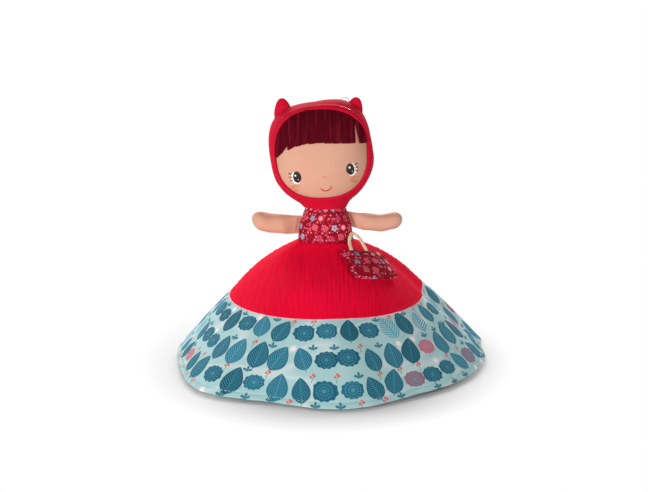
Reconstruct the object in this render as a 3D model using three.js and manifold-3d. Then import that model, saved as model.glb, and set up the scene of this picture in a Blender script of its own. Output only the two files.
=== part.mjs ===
// A reversible rag-doll hand puppet that stands on its wide skirt.
// One stuffed half stands above the waist: a head in a red hood with two small
// ears, a printed bodice, two arms and a little bag on a cord.
// The other half hangs upside down from the same waist, inside the skirt, where
// a hand holds it. Turned inside out, the skirt covers the first half instead.
//
// Millimetres, +Z up, the face looks along -Y. Heights count up from the hem.
// Turns round the doll count in degrees from the front, -Y, towards +X.

import * as THREE from 'three';
import { mergeVertices } from 'three/addons/utils/BufferGeometryUtils.js';
import Module from 'manifold-3d';

const wasm = await Module();
wasm.setup();

// Cloth and clearances
const gap = 0.3;
const cloth = 1.2;
const hoodThickness = 2;
const hairThickness = 1.8;

// Skirt: a red upper tier, a printed border and the other side's skirt inside
const waistHeight = 118;
const skirtTopRadius = 27;
const tierSeamRadius = 97;
const tierSeamHeight = 61.5;
const hemRadius = 153;
const upperCrown = 5.6;
const borderCrown = 1.6;
const waistFlattening = 0.25;
const flatteningReach = 0.35;
const skirtSides = 64;
const upperRows = 4;
const borderRows = 4;
const hemLevelFrom = 1.6;

// Each tier is four panels, sewn at slanting seams
const panels = ['front', 'right', 'back', 'left'];
const firstSeam = -45;

// Folds: where each lies, its spread in degrees, and how far it stands out at
// the tier seam and at the hem
const folds = [
  { at: -41, spread: 13, atSeam: 0, atHem: 17 },
  { at: 6, spread: 12, atSeam: 2, atHem: 14 },
  { at: 62, spread: 24, atSeam: 0, atHem: 9 },
  { at: 93, spread: 6, atSeam: -3, atHem: -6 },
  { at: 108, spread: 15, atSeam: 7, atHem: 16 },
  { at: -80, spread: 14, atSeam: 0, atHem: -3 },
  { at: 150, spread: 14, atSeam: 2, atHem: 6 },
  { at: -165, spread: 16, atSeam: 3, atHem: 9 },
  { at: -125, spread: 14, atSeam: 2, atHem: 6 },
];
const foldLift = 1.8;

// Bodice: half widths and half depths at the waist and at the armholes
const waistHalfWidth = 28.6;
const waistHalfDepth = 21;
const chestHalfWidth = 25.9;
const chestHalfDepth = 21.3;
const armHeight = 134.5;
const shoulderHeight = 146;
const waistTuck = 0.955;
const waistTuckHeight = 2;
const bodiceSwell = 0.45;
const shoulderSlope = 0.3;

// Neck: a stuffed ball that the hood's throat turns on
const neckPivotHeight = 140;
const neckBallRadius = 22.7;
const neckSplitRise = 11.5;
const throatRise = 10.8;
const throatWall = 1.5;

// Throat: how much wider than its mouth the hood is, at heights above the mouth
const throatFlare = [
  { wider: 1, rise: 0 },
  { wider: 1.03, rise: 2 },
  { wider: 1.12, rise: 4.5 },
  { wider: 1.28, rise: 7.5 },
  { wider: 0, rise: 9.5 },
];

// Head and hood, a rounded square that narrows to the jaw
const headShiftX = -3;
const headRise = 56.8;
const headTilt = 8.65;
const headHalfWidth = 51;
const headCrown = 58.3;
const headJaw = 47.5;
const headFront = 41;
const headBack = 44;
const crownPower = 3.265;
const jawPower = 1.915;
const depthPower = 2.2;
const headSides = 32;
const headRings = 16;

// Face opening in the hood, a rounded oval set a little above the jaw
const faceShiftX = -3.9;
const faceRise = 67;
const faceHalfWidth = 44.4;
const faceTop = 42;
const faceBottom = 44.5;
const facePower = 2.5;
const faceTilt = 2.3;
const faceSteps = 40;

// Hair: a fringe across the forehead, cut into locks
const fringeRise = 77;
const fringeSlope = 4;
const fringeLocks = 9;
const slitWidth = 1;
const slitHeight = 14;
const partingAt = 0.83;
const partingWidth = 4;
const partingHeight = 21;
const fringeBack = 4;

// Ears on the hood
const earWidth = 20.5;
const earHeight = 27;
const earDepth = 9;
const earTaper = 0.15;
const leftEar = { x: -42, rise: 104, lean: 7 };
const rightEar = { x: 27.5, rise: 105.2, lean: -14 };
const earY = 0;

// Thread loop to hang the puppet by
const hangLoopX = 18.5;
const hangLoopY = -6;
const hangLoopWidth = 9;
const hangLoopHeight = 5;
const hangLoopNeck = 0.87;
const hangLoopSink = 1.4;
const hangCord = 0.8;

// Arms
const armRootRadius = 2.4;
const armSwell = 11;
const armSeam = 0.15;
const leftArm = {
  side: -1, length: 46.5, height: 132.3, rootHalf: 9.6, midHalf: 10.1, tipHalf: 9.2, sag: 0.4, lift: 5.4,
};
const rightArm = {
  side: 1, length: 51, height: 137.6, rootHalf: 8.4, midHalf: 8.9, tipHalf: 8.5, sag: 3.4, lift: 0,
};

// Bag: it lies on the skirt, and its cord comes out of the side seam
const bagWidth = 50;
const bagHeight = 33;
const bagThickness = 7;
const bagTurn = 48.9;
const bagAlong = 0.468;
const bagLean = 11.4;
const bagLift = 0.6;
const bagPower = 3.6;
const bagCord = 2.7;
const bagCordPlaces = [-0.33, 0.05];
const cordApexY = -9;
const cordApexHeight = 125.2;
const cordSides = 8;

// Reversed half, upside down inside the skirt
const reverseWaistClearance = 0.6;
const reverseWaistDrop = 6;
const reverseChestDrop = 15;
const reverseChest = { wide: 0.93, deep: 0.82 };
const reverseCollar = 4;
const reverseNeckPivotHeight = 98;
const reverseNeckRadius = 19;
const reverseNeckSplitDrop = 9.5;
const reverseHeadDrop = 51;
const reverseHeadHalfWidth = 44;
const reverseHeadHalfHeight = 38;
const reverseHeadHalfDepth = 37;
const reverseMuzzleHalfWidth = 17;
const reverseMuzzleHalfHeight = 12;
const reverseMuzzleReach = 14;
const reverseMuzzleDrop = 59;
const reverseMuzzleSink = 6;
const reverseNoseRadius = 5;
const reverseNoseSink = 1.5;
const reverseNoseDrop = 4;
const reverseEarWidth = 20;
const reverseEarHeight = 26;
const reverseEarDepth = 8;
const reverseEarX = 29;
const reverseEarY = 2;
const reverseEarDrop = 81;
const reverseEarLean = 22;
const reverseArm = {
  length: 40, height: 103, rootHalf: 7, midHalf: 8.4, tipHalf: 8, sag: 0, lift: 0, slope: 46, standOff: 4.4,
};

const degrees = Math.PI / 180;
const clamp = (value) => Math.min(1, Math.max(0, value));
const ease = (value) => clamp(value) ** 2 * (3 - 2 * clamp(value));
const mix = (a, b, share) => a + (b - a) * share;

// Solids

/** Turns every face outwards. */
function faceOutwards(geometry) {
  const place = geometry.getAttribute('position');
  const index = geometry.getIndex();
  const a = new THREE.Vector3();
  const b = new THREE.Vector3();
  const c = new THREE.Vector3();
  let volume = 0;
  for (let i = 0; i < index.count; i += 3) {
    a.fromBufferAttribute(place, index.getX(i));
    b.fromBufferAttribute(place, index.getX(i + 1));
    c.fromBufferAttribute(place, index.getX(i + 2));
    volume += a.dot(b.cross(c));
  }
  if (volume < 0) {
    for (let i = 0; i < index.count; i += 3) {
      const second = index.getX(i + 1);
      index.setX(i + 1, index.getX(i + 2));
      index.setX(i + 2, second);
    }
  }
  geometry.computeVertexNormals();
  return geometry;
}

/** Adds a patch of four points as two triangles, split by its shorter diagonal. */
function addPatch(points, faces, a, b, c, d) {
  if (points[a].distanceTo(points[c]) < points[b].distanceTo(points[d])) faces.push(a, b, c, a, c, d);
  else faces.push(a, b, d, b, c, d);
}

/** A body from points and the triangles between them. */
function bodyOf(points, faces) {
  const geometry = new THREE.BufferGeometry().setFromPoints(points);
  geometry.setIndex(faces);
  return faceOutwards(geometry);
}

/** Joins closed rings of points into one body. Its ends are capped, or meet where it is a band. */
function loft(rings, band = false) {
  const sides = rings[0].length;
  const points = rings.flat();
  const faces = [];
  const steps = band ? rings.length : rings.length - 1;
  for (let row = 0; row < steps; row++) {
    const next = (row + 1) % rings.length;
    for (let i = 0; i < sides; i++) {
      const j = (i + 1) % sides;
      addPatch(points, faces, row * sides + i, row * sides + j, next * sides + j, next * sides + i);
    }
  }
  if (!band) {
    for (const [row, flip] of [[0, true], [rings.length - 1, false]]) {
      const middle = rings[row].reduce((sum, point) => sum.add(point), new THREE.Vector3());
      const centre = points.push(middle.divideScalar(sides)) - 1;
      for (let i = 0; i < sides; i++) {
        const j = (i + 1) % sides;
        const edge = [row * sides + i, row * sides + j];
        faces.push(centre, edge[flip ? 1 : 0], edge[flip ? 0 : 1]);
      }
    }
  }
  return bodyOf(points, faces);
}

/** A sheet of cloth between two like grids of points, its outer and its inner face. */
function sheet(outer, inner) {
  const rows = outer.length;
  const columns = outer[0].length;
  const points = [...outer.flat(), ...inner.flat()];
  const faces = [];
  const out = (row, column) => row * columns + column;
  const within = (row, column) => (rows + row) * columns + column;
  const [lastRow, lastColumn] = [rows - 1, columns - 1];
  for (let row = 0; row < lastRow; row++) {
    const next = row + 1;
    for (let i = 0; i < lastColumn; i++) {
      addPatch(points, faces, out(row, i), out(row, i + 1), out(next, i + 1), out(next, i));
      addPatch(points, faces, within(row, i), within(next, i), within(next, i + 1), within(row, i + 1));
    }
    addPatch(points, faces, out(row, 0), out(next, 0), within(next, 0), within(row, 0));
    const end = lastColumn;
    addPatch(points, faces, out(next, end), out(row, end), within(row, end), within(next, end));
  }
  for (let i = 0; i < lastColumn; i++) {
    addPatch(points, faces, out(0, i + 1), out(0, i), within(0, i), within(0, i + 1));
    addPatch(points, faces, out(lastRow, i), out(lastRow, i + 1), within(lastRow, i + 1), within(lastRow, i));
  }
  return bodyOf(points, faces);
}

/** A merged, closed copy of a geometry, with only its places. */
function closed(geometry) {
  const bare = geometry.clone();
  for (const name of Object.keys(bare.attributes)) {
    if (name !== 'position') bare.deleteAttribute(name);
  }
  return faceOutwards(mergeVertices(bare, 1e-4));
}

/** The geometry as a solid that can be joined and cut. */
function solid(geometry) {
  const merged = closed(geometry);
  return new wasm.Manifold(new wasm.Mesh({
    numProp: 3,
    vertProperties: new Float32Array(merged.getAttribute('position').array),
    triVerts: new Uint32Array(merged.getIndex().array),
  }));
}

/** A cut solid back as a geometry. */
function geometryOf(body) {
  const mesh = body.getMesh();
  const geometry = new THREE.BufferGeometry();
  geometry.setAttribute('position', new THREE.BufferAttribute(new Float32Array(mesh.vertProperties), 3));
  geometry.setIndex(new THREE.BufferAttribute(new Uint32Array(mesh.triVerts), 1));
  geometry.computeVertexNormals();
  return geometry;
}

/** Moves each point of a unit ball by a rule. The ball's poles are at its front and back. */
function shapedBall(sides, rings, rule) {
  const geometry = closed(new THREE.SphereGeometry(1, sides, rings));
  const place = geometry.getAttribute('position');
  const point = new THREE.Vector3();
  for (let i = 0; i < place.count; i++) {
    point.fromBufferAttribute(place, i);
    rule(point);
    place.setXYZ(i, point.x, point.y, point.z);
  }
  return faceOutwards(geometry);
}

/** A ball of one radius about a point, its poles up and down. */
function ball(radius, centre, sides = 32, rings = 20) {
  const geometry = new THREE.SphereGeometry(radius, sides, rings).rotateX(90 * degrees);
  return geometry.translate(centre.x, centre.y, centre.z);
}

/** A round body about a vertical axis, from pairs of radius and height. */
function revolved(outline, sides = 32) {
  const points = outline.map(([radius, height]) => new THREE.Vector2(radius, height));
  return new THREE.LatheGeometry(points, sides).rotateX(90 * degrees);
}

/** A ring of points on an oval in a level plane. */
function ovalRing(halfWidth, halfDepth, height, sides = 32) {
  const ring = [];
  for (let i = 0; i < sides; i++) {
    const turn = (i / sides) * 2 * Math.PI;
    ring.push(new THREE.Vector3(halfWidth * Math.sin(turn), -halfDepth * Math.cos(turn), height));
  }
  return ring;
}

// Skirt

/** Bends a straight line between two points of the side view outwards by its crown. */
function crowned(start, end, crown) {
  const along = end.clone().sub(start);
  const out = new THREE.Vector2(-along.y, along.x).normalize();
  const middle = start.clone().add(end).multiplyScalar(0.5).addScaledVector(out, 2 * crown);
  return new THREE.QuadraticBezierCurve(start, middle, end);
}

const skirtTop = new THREE.Vector2(skirtTopRadius, waistHeight - gap);
const tierSeam = new THREE.Vector2(tierSeamRadius, tierSeamHeight);
const upperCurve = crowned(skirtTop, tierSeam, upperCrown);
const borderCurve = crowned(tierSeam, new THREE.Vector2(hemRadius, 0), borderCrown);
const upperLength = upperCurve.getLength();

/** Side view of the skirt's outer face: 0 at the waist, 1 at the tier seam, 2 at the hem. */
function skirtOutline(along) {
  return along <= 1 ? upperCurve.getPoint(Math.max(0, along)) : borderCurve.getPoint(Math.min(1, along - 1));
}

/** How far the folds stand out at a place on the skirt. */
function foldRise(share, turn) {
  let rise = 0;
  for (const fold of folds) {
    const away = THREE.MathUtils.euclideanModulo(turn - fold.at + 180, 360) - 180;
    const height = fold.atSeam * 4 * share * (1 - share) + fold.atHem * share * (2 * share - 1);
    rise += height * Math.exp(-0.5 * (away / fold.spread) ** 2);
  }
  return rise;
}

/** A point on the skirt, moved off its outer face by a distance. */
function skirtPoint(along, turn, outwards = 0) {
  const step = 0.02;
  const tangent = skirtOutline(along + step).sub(skirtOutline(along - step)).normalize();
  const normal = new THREE.Vector2(-tangent.y, tangent.x);
  const level = clamp((along - hemLevelFrom) / (2 - hemLevelFrom));
  const way = new THREE.Vector2(mix(normal.x, 1, level), mix(normal.y, 0, level));
  const point = skirtOutline(along).addScaledVector(way, outwards / normal.dot(way));
  const share = along / 2;
  const rise = foldRise(share, turn);
  const radius = point.x + rise;
  const height = point.y + rise * foldLift * (1 - share);
  const flat = 1 - waistFlattening * (1 - ease(share / flatteningReach));
  const angle = turn * degrees;
  return new THREE.Vector3(radius * Math.sin(angle), -radius * Math.cos(angle) * flat, height);
}

/** Lines of points across a face of the skirt, a distance inside its outer face. */
function skirtGrid(from, to, rows, startTurn, columns, inside) {
  const grid = [];
  for (let row = 0; row <= rows; row++) {
    const along = mix(from, to, row / rows);
    const line = [];
    for (let column = 0; column < columns; column++) {
      line.push(skirtPoint(along, startTurn + (column * 360) / skirtSides, -inside));
    }
    grid.push(line);
  }
  return grid;
}

/** The panels of a tier between two places down the skirt, with a gap at each seam. */
function tierPanels(from, to, rows) {
  const columns = skirtSides / panels.length;
  return panels.map((name, i) => {
    const startTurn = firstSeam + (i * 360) / panels.length;
    const outer = skirtGrid(from, to, rows, startTurn, columns + 1, 0);
    const inner = skirtGrid(from, to, rows, startTurn, columns + 1, cloth);
    for (const line of [...outer, ...inner]) {
      for (const [end, next] of [[line[0], line[1]], [line[columns], line[columns - 1]]]) {
        end.lerp(next, gap / 2 / end.distanceTo(next));
      }
    }
    return { name, geometry: sheet(outer, inner) };
  });
}

const seamAllowance = gap / 2 / upperLength;
const upperPanels = tierPanels(0, 1 - seamAllowance, upperRows);
const borderPanels = tierPanels(1 + seamAllowance, 2, borderRows);
const reverseRows = upperRows + borderRows;
const reverseSkirt = loft([
  ...skirtGrid(0, 2, reverseRows, 0, skirtSides, cloth + gap),
  ...skirtGrid(0, 2, reverseRows, 0, skirtSides, 2 * cloth + gap).reverse(),
], true);

// Bodice and neck

const neckPivot = new THREE.Vector3(0, 0, neckPivotHeight);
const neckSplit = neckPivotHeight + neckSplitRise;
const throatHeight = neckPivotHeight + throatRise;
const neckRadiusAt = (height) => Math.sqrt(neckBallRadius ** 2 - (height - neckPivotHeight) ** 2);

const neckStation = (height) => new THREE.Vector3(neckRadiusAt(height), neckRadiusAt(height), height);
const bodiceStations = [
  new THREE.Vector3(waistHalfWidth * waistTuck, waistHalfDepth * waistTuck, waistHeight),
  new THREE.Vector3(waistHalfWidth, waistHalfDepth, waistHeight + waistTuckHeight),
  new THREE.Vector3(
    mix(waistHalfWidth, chestHalfWidth, bodiceSwell),
    waistHalfDepth,
    mix(waistHeight, armHeight, 0.5),
  ),
  new THREE.Vector3(chestHalfWidth, chestHalfDepth, armHeight),
  new THREE.Vector3(
    mix(chestHalfWidth, neckRadiusAt(shoulderHeight), bodiceSwell),
    mix(chestHalfDepth, neckRadiusAt(shoulderHeight), shoulderSlope),
    mix(armHeight, shoulderHeight, 0.5),
  ),
  neckStation(shoulderHeight),
  neckStation(mix(shoulderHeight, neckSplit, 0.5)),
  neckStation(neckSplit),
];
const bodice = loft(bodiceStations.map((at) => ovalRing(at.x, at.y, at.z)));

/** The bodice's half width and half depth at a height, between its stations. */
function bodiceAt(height) {
  for (let i = 1; i < bodiceStations.length; i++) {
    const low = bodiceStations[i - 1];
    const high = bodiceStations[i];
    if (height <= high.z) return low.clone().lerp(high, clamp((height - low.z) / (high.z - low.z)));
  }
  return bodiceStations.at(-1);
}

/** The cap of a ball beyond a level cut, on the side that the sign names. */
function ballCap(centre, radius, cut, side) {
  const steps = 7;
  const start = Math.acos(Math.abs(cut - centre.z) / radius);
  const outline = [[0, cut]];
  for (let i = 0; i <= steps; i++) {
    const angle = start * (1 - i / steps);
    outline.push([i === steps ? 0 : radius * Math.sin(angle), centre.z + side * radius * Math.cos(angle)]);
  }
  return closed(revolved(outline));
}

const neck = ballCap(neckPivot, neckBallRadius, neckSplit + gap, 1);

// Head and hood

const headCentre = new THREE.Vector3(headShiftX, 0, neckPivotHeight + headRise);

/** The head's form, drawn in on every side by a depth. */
function headForm(inside) {
  return shapedBall(headSides, headRings, (point) => {
    const up = point.z > 0;
    const power = up ? crownPower : jawPower;
    const x = Math.abs(point.x) / (headHalfWidth - inside);
    const z = Math.abs(point.z) / ((up ? headCrown : headJaw) - inside);
    const y = Math.abs(point.y) / ((point.y < 0 ? headFront : headBack) - inside);
    const flat = (x ** power + z ** power) ** (1 / power);
    point.multiplyScalar(1 / (flat ** depthPower + y ** depthPower) ** (1 / depthPower));
    point.applyAxisAngle(new THREE.Vector3(0, -1, 0), headTilt * degrees);
    point.add(headCentre);
  });
}

/** The face opening's outline, drawn in by a margin: places across and heights. */
function faceOutline(margin) {
  const outline = [];
  for (let i = 0; i < faceSteps; i++) {
    const angle = (i / faceSteps) * 2 * Math.PI;
    const across = Math.cos(angle);
    const up = Math.sin(angle);
    const reach = (Math.abs(across) ** facePower + Math.abs(up) ** facePower) ** (-1 / facePower);
    const x = across * reach * (faceHalfWidth - margin);
    const z = up * reach * ((up > 0 ? faceTop : faceBottom) - margin);
    const lean = faceTilt * degrees;
    outline.push(new THREE.Vector2(
      faceShiftX + x * Math.cos(lean) - z * Math.sin(lean),
      neckPivotHeight + faceRise + x * Math.sin(lean) + z * Math.cos(lean),
    ));
  }
  return outline;
}

/** A block with a front outline, from the front of the head to its middle. */
function frontBlock(outline) {
  const depth = headFront * 1.5;
  const block = new THREE.ExtrudeGeometry(new THREE.Shape(outline), { depth, bevelEnabled: false });
  return solid(block.rotateX(90 * degrees));
}

const neckClearance = solid(ball(neckBallRadius + gap, neckPivot, 32, 20));
const hoodOuter = solid(headForm(0));
const headSpace = solid(headForm(hoodThickness));
const throatRadius = neckRadiusAt(throatHeight) + gap + throatWall;
const throat = solid(closed(revolved([
  [0, throatHeight],
  ...throatFlare.map((at) => [throatRadius * at.wider, throatHeight + at.rise]),
])));
const cutter = 4 * headHalfWidth;
const belowThroat = solid(
  new THREE.BoxGeometry(cutter, cutter, cutter).translate(0, 0, throatHeight - cutter / 2),
);

const headBody = solid(headForm(hoodThickness + gap)).subtract(neckClearance);
const head = geometryOf(headBody);
const hood = geometryOf(
  hoodOuter
    .add(throat)
    .subtract(headSpace)
    .subtract(frontBlock(faceOutline(0)))
    .subtract(neckClearance)
    .subtract(belowThroat),
);

/** The fringe's outline: the top of the face opening, and locks parted by slits below. */
function fringeOutline() {
  const edge = faceOutline(gap);
  const lowEdge = (share) => neckPivotHeight + fringeRise - fringeSlope * (1 - share) ** 3 * 3;
  const top = edge.filter((point) => point.y > neckPivotHeight + fringeRise);
  const right = top[0];
  const left = top.at(-1);
  const outline = [...top];
  for (let lock = 0; lock < fringeLocks; lock++) {
    const start = lock / fringeLocks;
    const end = (lock + 1) / fringeLocks;
    const place = (share) => mix(left.x, right.x, share);
    const parting = Math.abs(end - partingAt) < 0.5 / fringeLocks;
    const width = parting ? partingWidth : slitWidth;
    const height = parting ? partingHeight : slitHeight;
    if (lock > 0) outline.push(new THREE.Vector2(place(start) + slitWidth / 2, lowEdge(start)));
    if (end < 1) {
      outline.push(new THREE.Vector2(place(end) - width / 2, lowEdge(end)));
      outline.push(new THREE.Vector2(place(end), lowEdge(end) + height));
    }
  }
  return outline;
}

const fringe = geometryOf(
  solid(headForm(hoodThickness - hairThickness))
    .subtract(headSpace)
    .intersect(frontBlock(fringeOutline()))
    .subtract(solid(
      new THREE.BoxGeometry(cutter, cutter, cutter).translate(0, cutter / 2 - fringeBack, headCentre.z),
    )),
);

/** A flat stuffed ear that narrows to a round tip, cut where it meets the body that carries it. */
function ear(size, place, lean, carrier) {
  const form = shapedBall(16, 10, (point) => {
    const width = 1 - earTaper * (point.z + 1) / 2;
    point.set(point.x * width * size.width / 2, point.y * size.depth / 2, point.z * size.height / 2);
    point.applyAxisAngle(new THREE.Vector3(0, -1, 0), lean * degrees);
    point.add(place);
  });
  return geometryOf(solid(form).subtract(carrier));
}

const hoodClearance = solid(headForm(-gap));
const earSize = { width: earWidth, depth: earDepth, height: earHeight };
const hoodEars = [leftEar, rightEar].map((at) =>
  ear(earSize, new THREE.Vector3(at.x, earY, neckPivotHeight + at.rise), at.lean, hoodClearance));

/** A round cord along a curve. */
function cord(curve, diameter, steps) {
  const section = new THREE.Shape();
  section.absarc(0, 0, diameter / 2, 0, 2 * Math.PI);
  const geometry = new THREE.ExtrudeGeometry(section, {
    steps, curveSegments: cordSides / 2, extrudePath: curve, bevelEnabled: false,
  });
  return closed(geometry);
}

const hangLoopBase = neckPivotHeight + headRise + headCrown - hangLoopSink;
const hangLoopPoints = [
  { side: -hangLoopNeck, up: -0.6 },
  { side: -1, up: 0.5 },
  { side: 0, up: 1 },
  { side: 1, up: 0.5 },
  { side: hangLoopNeck, up: -0.6 },
].map((at) => new THREE.Vector3(
  hangLoopX + (at.side * hangLoopWidth) / 2,
  hangLoopY,
  hangLoopBase + hangLoopHeight * at.up,
));
const hangLoop = geometryOf(
  solid(cord(new THREE.CatmullRomCurve3(hangLoopPoints), hangCord, 16)).subtract(hoodClearance),
);

// Arms

const armHinge = (arm) => {
  const at = bodiceAt(arm.height);
  const rise = 6;
  const slope = (bodiceAt(arm.height + rise).x - bodiceAt(arm.height - rise).x) / (2 * rise);
  const lean = Math.atan(slope);
  const reach = (armRootRadius + gap) / Math.cos(lean) + armSeam;
  return { place: new THREE.Vector3(arm.side * (at.x + reach), 0, arm.height), lean };
};

/** A stuffed arm: pinched at its seam, swollen along its length and round at its end. */
function armForm(arm, lean) {
  const sides = 20;
  const stations = [0, 0.02, 0.05, 0.12, 0.25, 0.42, 0.6, 0.75, 0.85, 0.92, 0.97, 0.995, 1];
  const rings = stations.map((share) => {
    const out = share * arm.length;
    const fromRoot = Math.min(1, out / armSwell);
    const end = clamp((out - (arm.length - arm.tipHalf)) / arm.tipHalf);
    const round = Math.sqrt(Math.max(0.0004, 1 - end * end));
    const middle = 1 - (2 * share - 1) ** 2;
    const half = mix(mix(arm.rootHalf, arm.tipHalf, share), arm.midHalf, middle) * round;
    const root = Math.sqrt(Math.max(0.0004, 1 - (1 - clamp(out / armRootRadius)) ** 2)) * armRootRadius;
    const depth = mix(root, half, ease(fromRoot));
    const lift = -arm.sag * middle + arm.lift * share ** 2;
    const ring = [];
    for (let i = 0; i < sides; i++) {
      const turn = (i / sides) * 2 * Math.PI;
      const up = half * Math.sin(turn);
      const shear = Math.tan(lean) * up * (1 - ease(fromRoot));
      ring.push(new THREE.Vector3(out - armRootRadius + shear, depth * Math.cos(turn), lift + up));
    }
    return ring;
  });
  return loft(rings);
}

/** An arm on its hinge line, turned to its side of the doll. */
function placedArm(arm) {
  const hinge = armHinge(arm);
  const form = armForm(arm, hinge.lean);
  if (arm.side < 0) form.rotateZ(180 * degrees);
  form.translate(hinge.place.x, hinge.place.y, hinge.place.z);
  return { geometry: form, hinge };
}

const arms = [leftArm, rightArm].map(placedArm);

// Bag and its cord

/** A point of the bag's cloth: across and down the bag, and above the skirt. */
function bagPoint(across, down, height) {
  const lean = bagLean * degrees;
  const around = across * Math.cos(lean) - down * Math.sin(lean);
  const along = bagAlong + (across * Math.sin(lean) + down * Math.cos(lean)) / upperLength;
  const turn = bagTurn + around / skirtOutline(along).x / degrees;
  return skirtPoint(along, turn, height);
}

const bag = shapedBall(28, 14, (point) => {
  const flat = Math.hypot(point.x, point.z);
  const reach = (Math.abs(point.x) ** bagPower + Math.abs(point.z) ** bagPower) ** (1 / bagPower);
  const square = flat / (reach || 1);
  const across = (point.x * square * bagWidth) / 2;
  const down = (-point.z * square * bagHeight) / 2;
  const height = bagLift + (bagThickness * (1 - point.y)) / 2;
  point.copy(bagPoint(across, down, height));
});

const cordEnds = bagCordPlaces.map((share) =>
  bagPoint(share * bagWidth, -bagHeight / 2 - gap - bagCord / 2, bagLift + bagThickness / 2));
const cordApex = (() => {
  const at = bodiceAt(cordApexHeight);
  const side = at.x * Math.sqrt(1 - (cordApexY / at.y) ** 2);
  return new THREE.Vector3(side + bagCord / 2 + 2 * gap, cordApexY, cordApexHeight);
})();
const cordRoute = new THREE.CatmullRomCurve3([
  cordEnds[0],
  new THREE.Vector3(23.6, -20, 118.6),
  new THREE.Vector3(24.3, -15.5, 122.6),
  cordApex,
  new THREE.Vector3(32.5, -10.4, 121.6),
  new THREE.Vector3(36.4, -15.2, 116.8),
  cordEnds[1],
]);
const bagHandle = cord(cordRoute, bagCord, 22);

// Reversed half

const reversePivot = new THREE.Vector3(0, 0, reverseNeckPivotHeight);
const reverseRadiusAt = (height) => Math.sqrt(reverseNeckRadius ** 2 - (height - reverseNeckPivotHeight) ** 2);
const reverseSplit = reverseNeckPivotHeight - reverseNeckSplitDrop;
const reverseTop = waistHeight - gap;
const reverseInner = skirtTopRadius - 2 * cloth - 2 * gap - reverseWaistClearance;
const reverseNeckStation = (height) =>
  new THREE.Vector3(reverseRadiusAt(height), reverseRadiusAt(height), height);
const reverseStations = [
  new THREE.Vector3(reverseInner, reverseInner * (1 - waistFlattening), reverseTop),
  new THREE.Vector3(reverseInner, reverseInner * (1 - waistFlattening), reverseTop - reverseWaistDrop),
  new THREE.Vector3(
    reverseInner * reverseChest.wide,
    reverseInner * reverseChest.deep,
    reverseTop - reverseChestDrop,
  ),
  reverseNeckStation(reverseSplit + reverseCollar),
  reverseNeckStation(reverseSplit),
];
const reverseBodice = loft(reverseStations.map((at) => ovalRing(at.x, at.y, at.z)));
const reverseNeck = ballCap(reversePivot, reverseNeckRadius, reverseSplit - gap, -1);
const reverseClearance = solid(ball(reverseNeckRadius + gap, reversePivot, 24, 16));

const reverseCentre = reversePivot.clone().add(new THREE.Vector3(0, 0, -reverseHeadDrop));
const reverseForm = (margin) => shapedBall(24, 14, (point) => {
  const half = new THREE.Vector3(reverseHeadHalfWidth, reverseHeadHalfDepth, reverseHeadHalfHeight);
  point.multiply(half.addScalar(margin)).add(reverseCentre);
});
const reverseHeadSolid = solid(reverseForm(0));
const reverseHead = geometryOf(reverseHeadSolid.subtract(reverseClearance));
const reverseHeadSpace = solid(reverseForm(gap));

const muzzleCentre = new THREE.Vector3(
  0,
  reverseMuzzleSink - reverseHeadHalfDepth,
  reverseNeckPivotHeight - reverseMuzzleDrop,
);
const muzzleForm = (margin) => shapedBall(16, 10, (point) => {
  const half = new THREE.Vector3(reverseMuzzleHalfWidth, reverseMuzzleReach, reverseMuzzleHalfHeight);
  point.multiply(half.addScalar(margin)).add(muzzleCentre);
});
const reverseMuzzle = geometryOf(solid(muzzleForm(0)).subtract(reverseHeadSpace));
const noseCentre = muzzleCentre.clone().add(
  new THREE.Vector3(0, reverseNoseSink - reverseMuzzleReach, -reverseNoseDrop),
);
const reverseNose = geometryOf(
  solid(closed(ball(reverseNoseRadius, noseCentre, 12, 8)))
    .subtract(solid(muzzleForm(gap)))
    .subtract(reverseHeadSpace),
);

const reverseEarSize = { width: reverseEarWidth, depth: reverseEarDepth, height: reverseEarHeight };
const reverseEars = [-1, 1].map((side) => {
  const place = new THREE.Vector3(side * reverseEarX, reverseEarY, reverseNeckPivotHeight - reverseEarDrop);
  return ear(reverseEarSize, place, 180 + side * reverseEarLean, reverseHeadSpace);
});

const reverseArms = [-1, 1].map((side) => {
  const form = armForm(reverseArm, 0);
  form.rotateY(reverseArm.slope * degrees);
  if (side < 0) form.rotateZ(180 * degrees);
  const seamReach = (armRootRadius + gap) / Math.cos(reverseArm.slope * degrees);
  const reach = reverseInner + seamReach + reverseArm.standOff;
  const place = new THREE.Vector3(side * reach, 0, reverseArm.height);
  form.translate(place.x, place.y, place.z);
  return { geometry: form, place };
});

// The pieces

const colours = {
  red: { color: 0xc4001f, roughness: 0.85 },
  hood: { color: 0xc8102e, roughness: 0.8 },
  skin: { color: 0xeec3a4, roughness: 0.8 },
  hair: { color: 0x5a0c1e, roughness: 0.7 },
  floral: { color: 0x9c0f24, roughness: 0.85 },
  aqua: { color: 0xa6d8d5, roughness: 0.85 },
  lining: { color: 0xa79fa6, roughness: 0.9 },
  grey: { color: 0x8d8f94, roughness: 0.9 },
  dark: { color: 0x2a2a2e, roughness: 0.6 },
  cord: { color: 0xe8c58c, roughness: 0.8 },
  thread: { color: 0x9a9aa0, roughness: 0.7 },
};

const doll = new THREE.Group();

/** Adds one named piece in its finish. */
function add(name, geometry, finish) {
  const mesh = new THREE.Mesh(geometry, new THREE.MeshStandardMaterial({ ...colours[finish], metalness: 0 }));
  mesh.name = name;
  doll.add(mesh);
}

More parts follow.
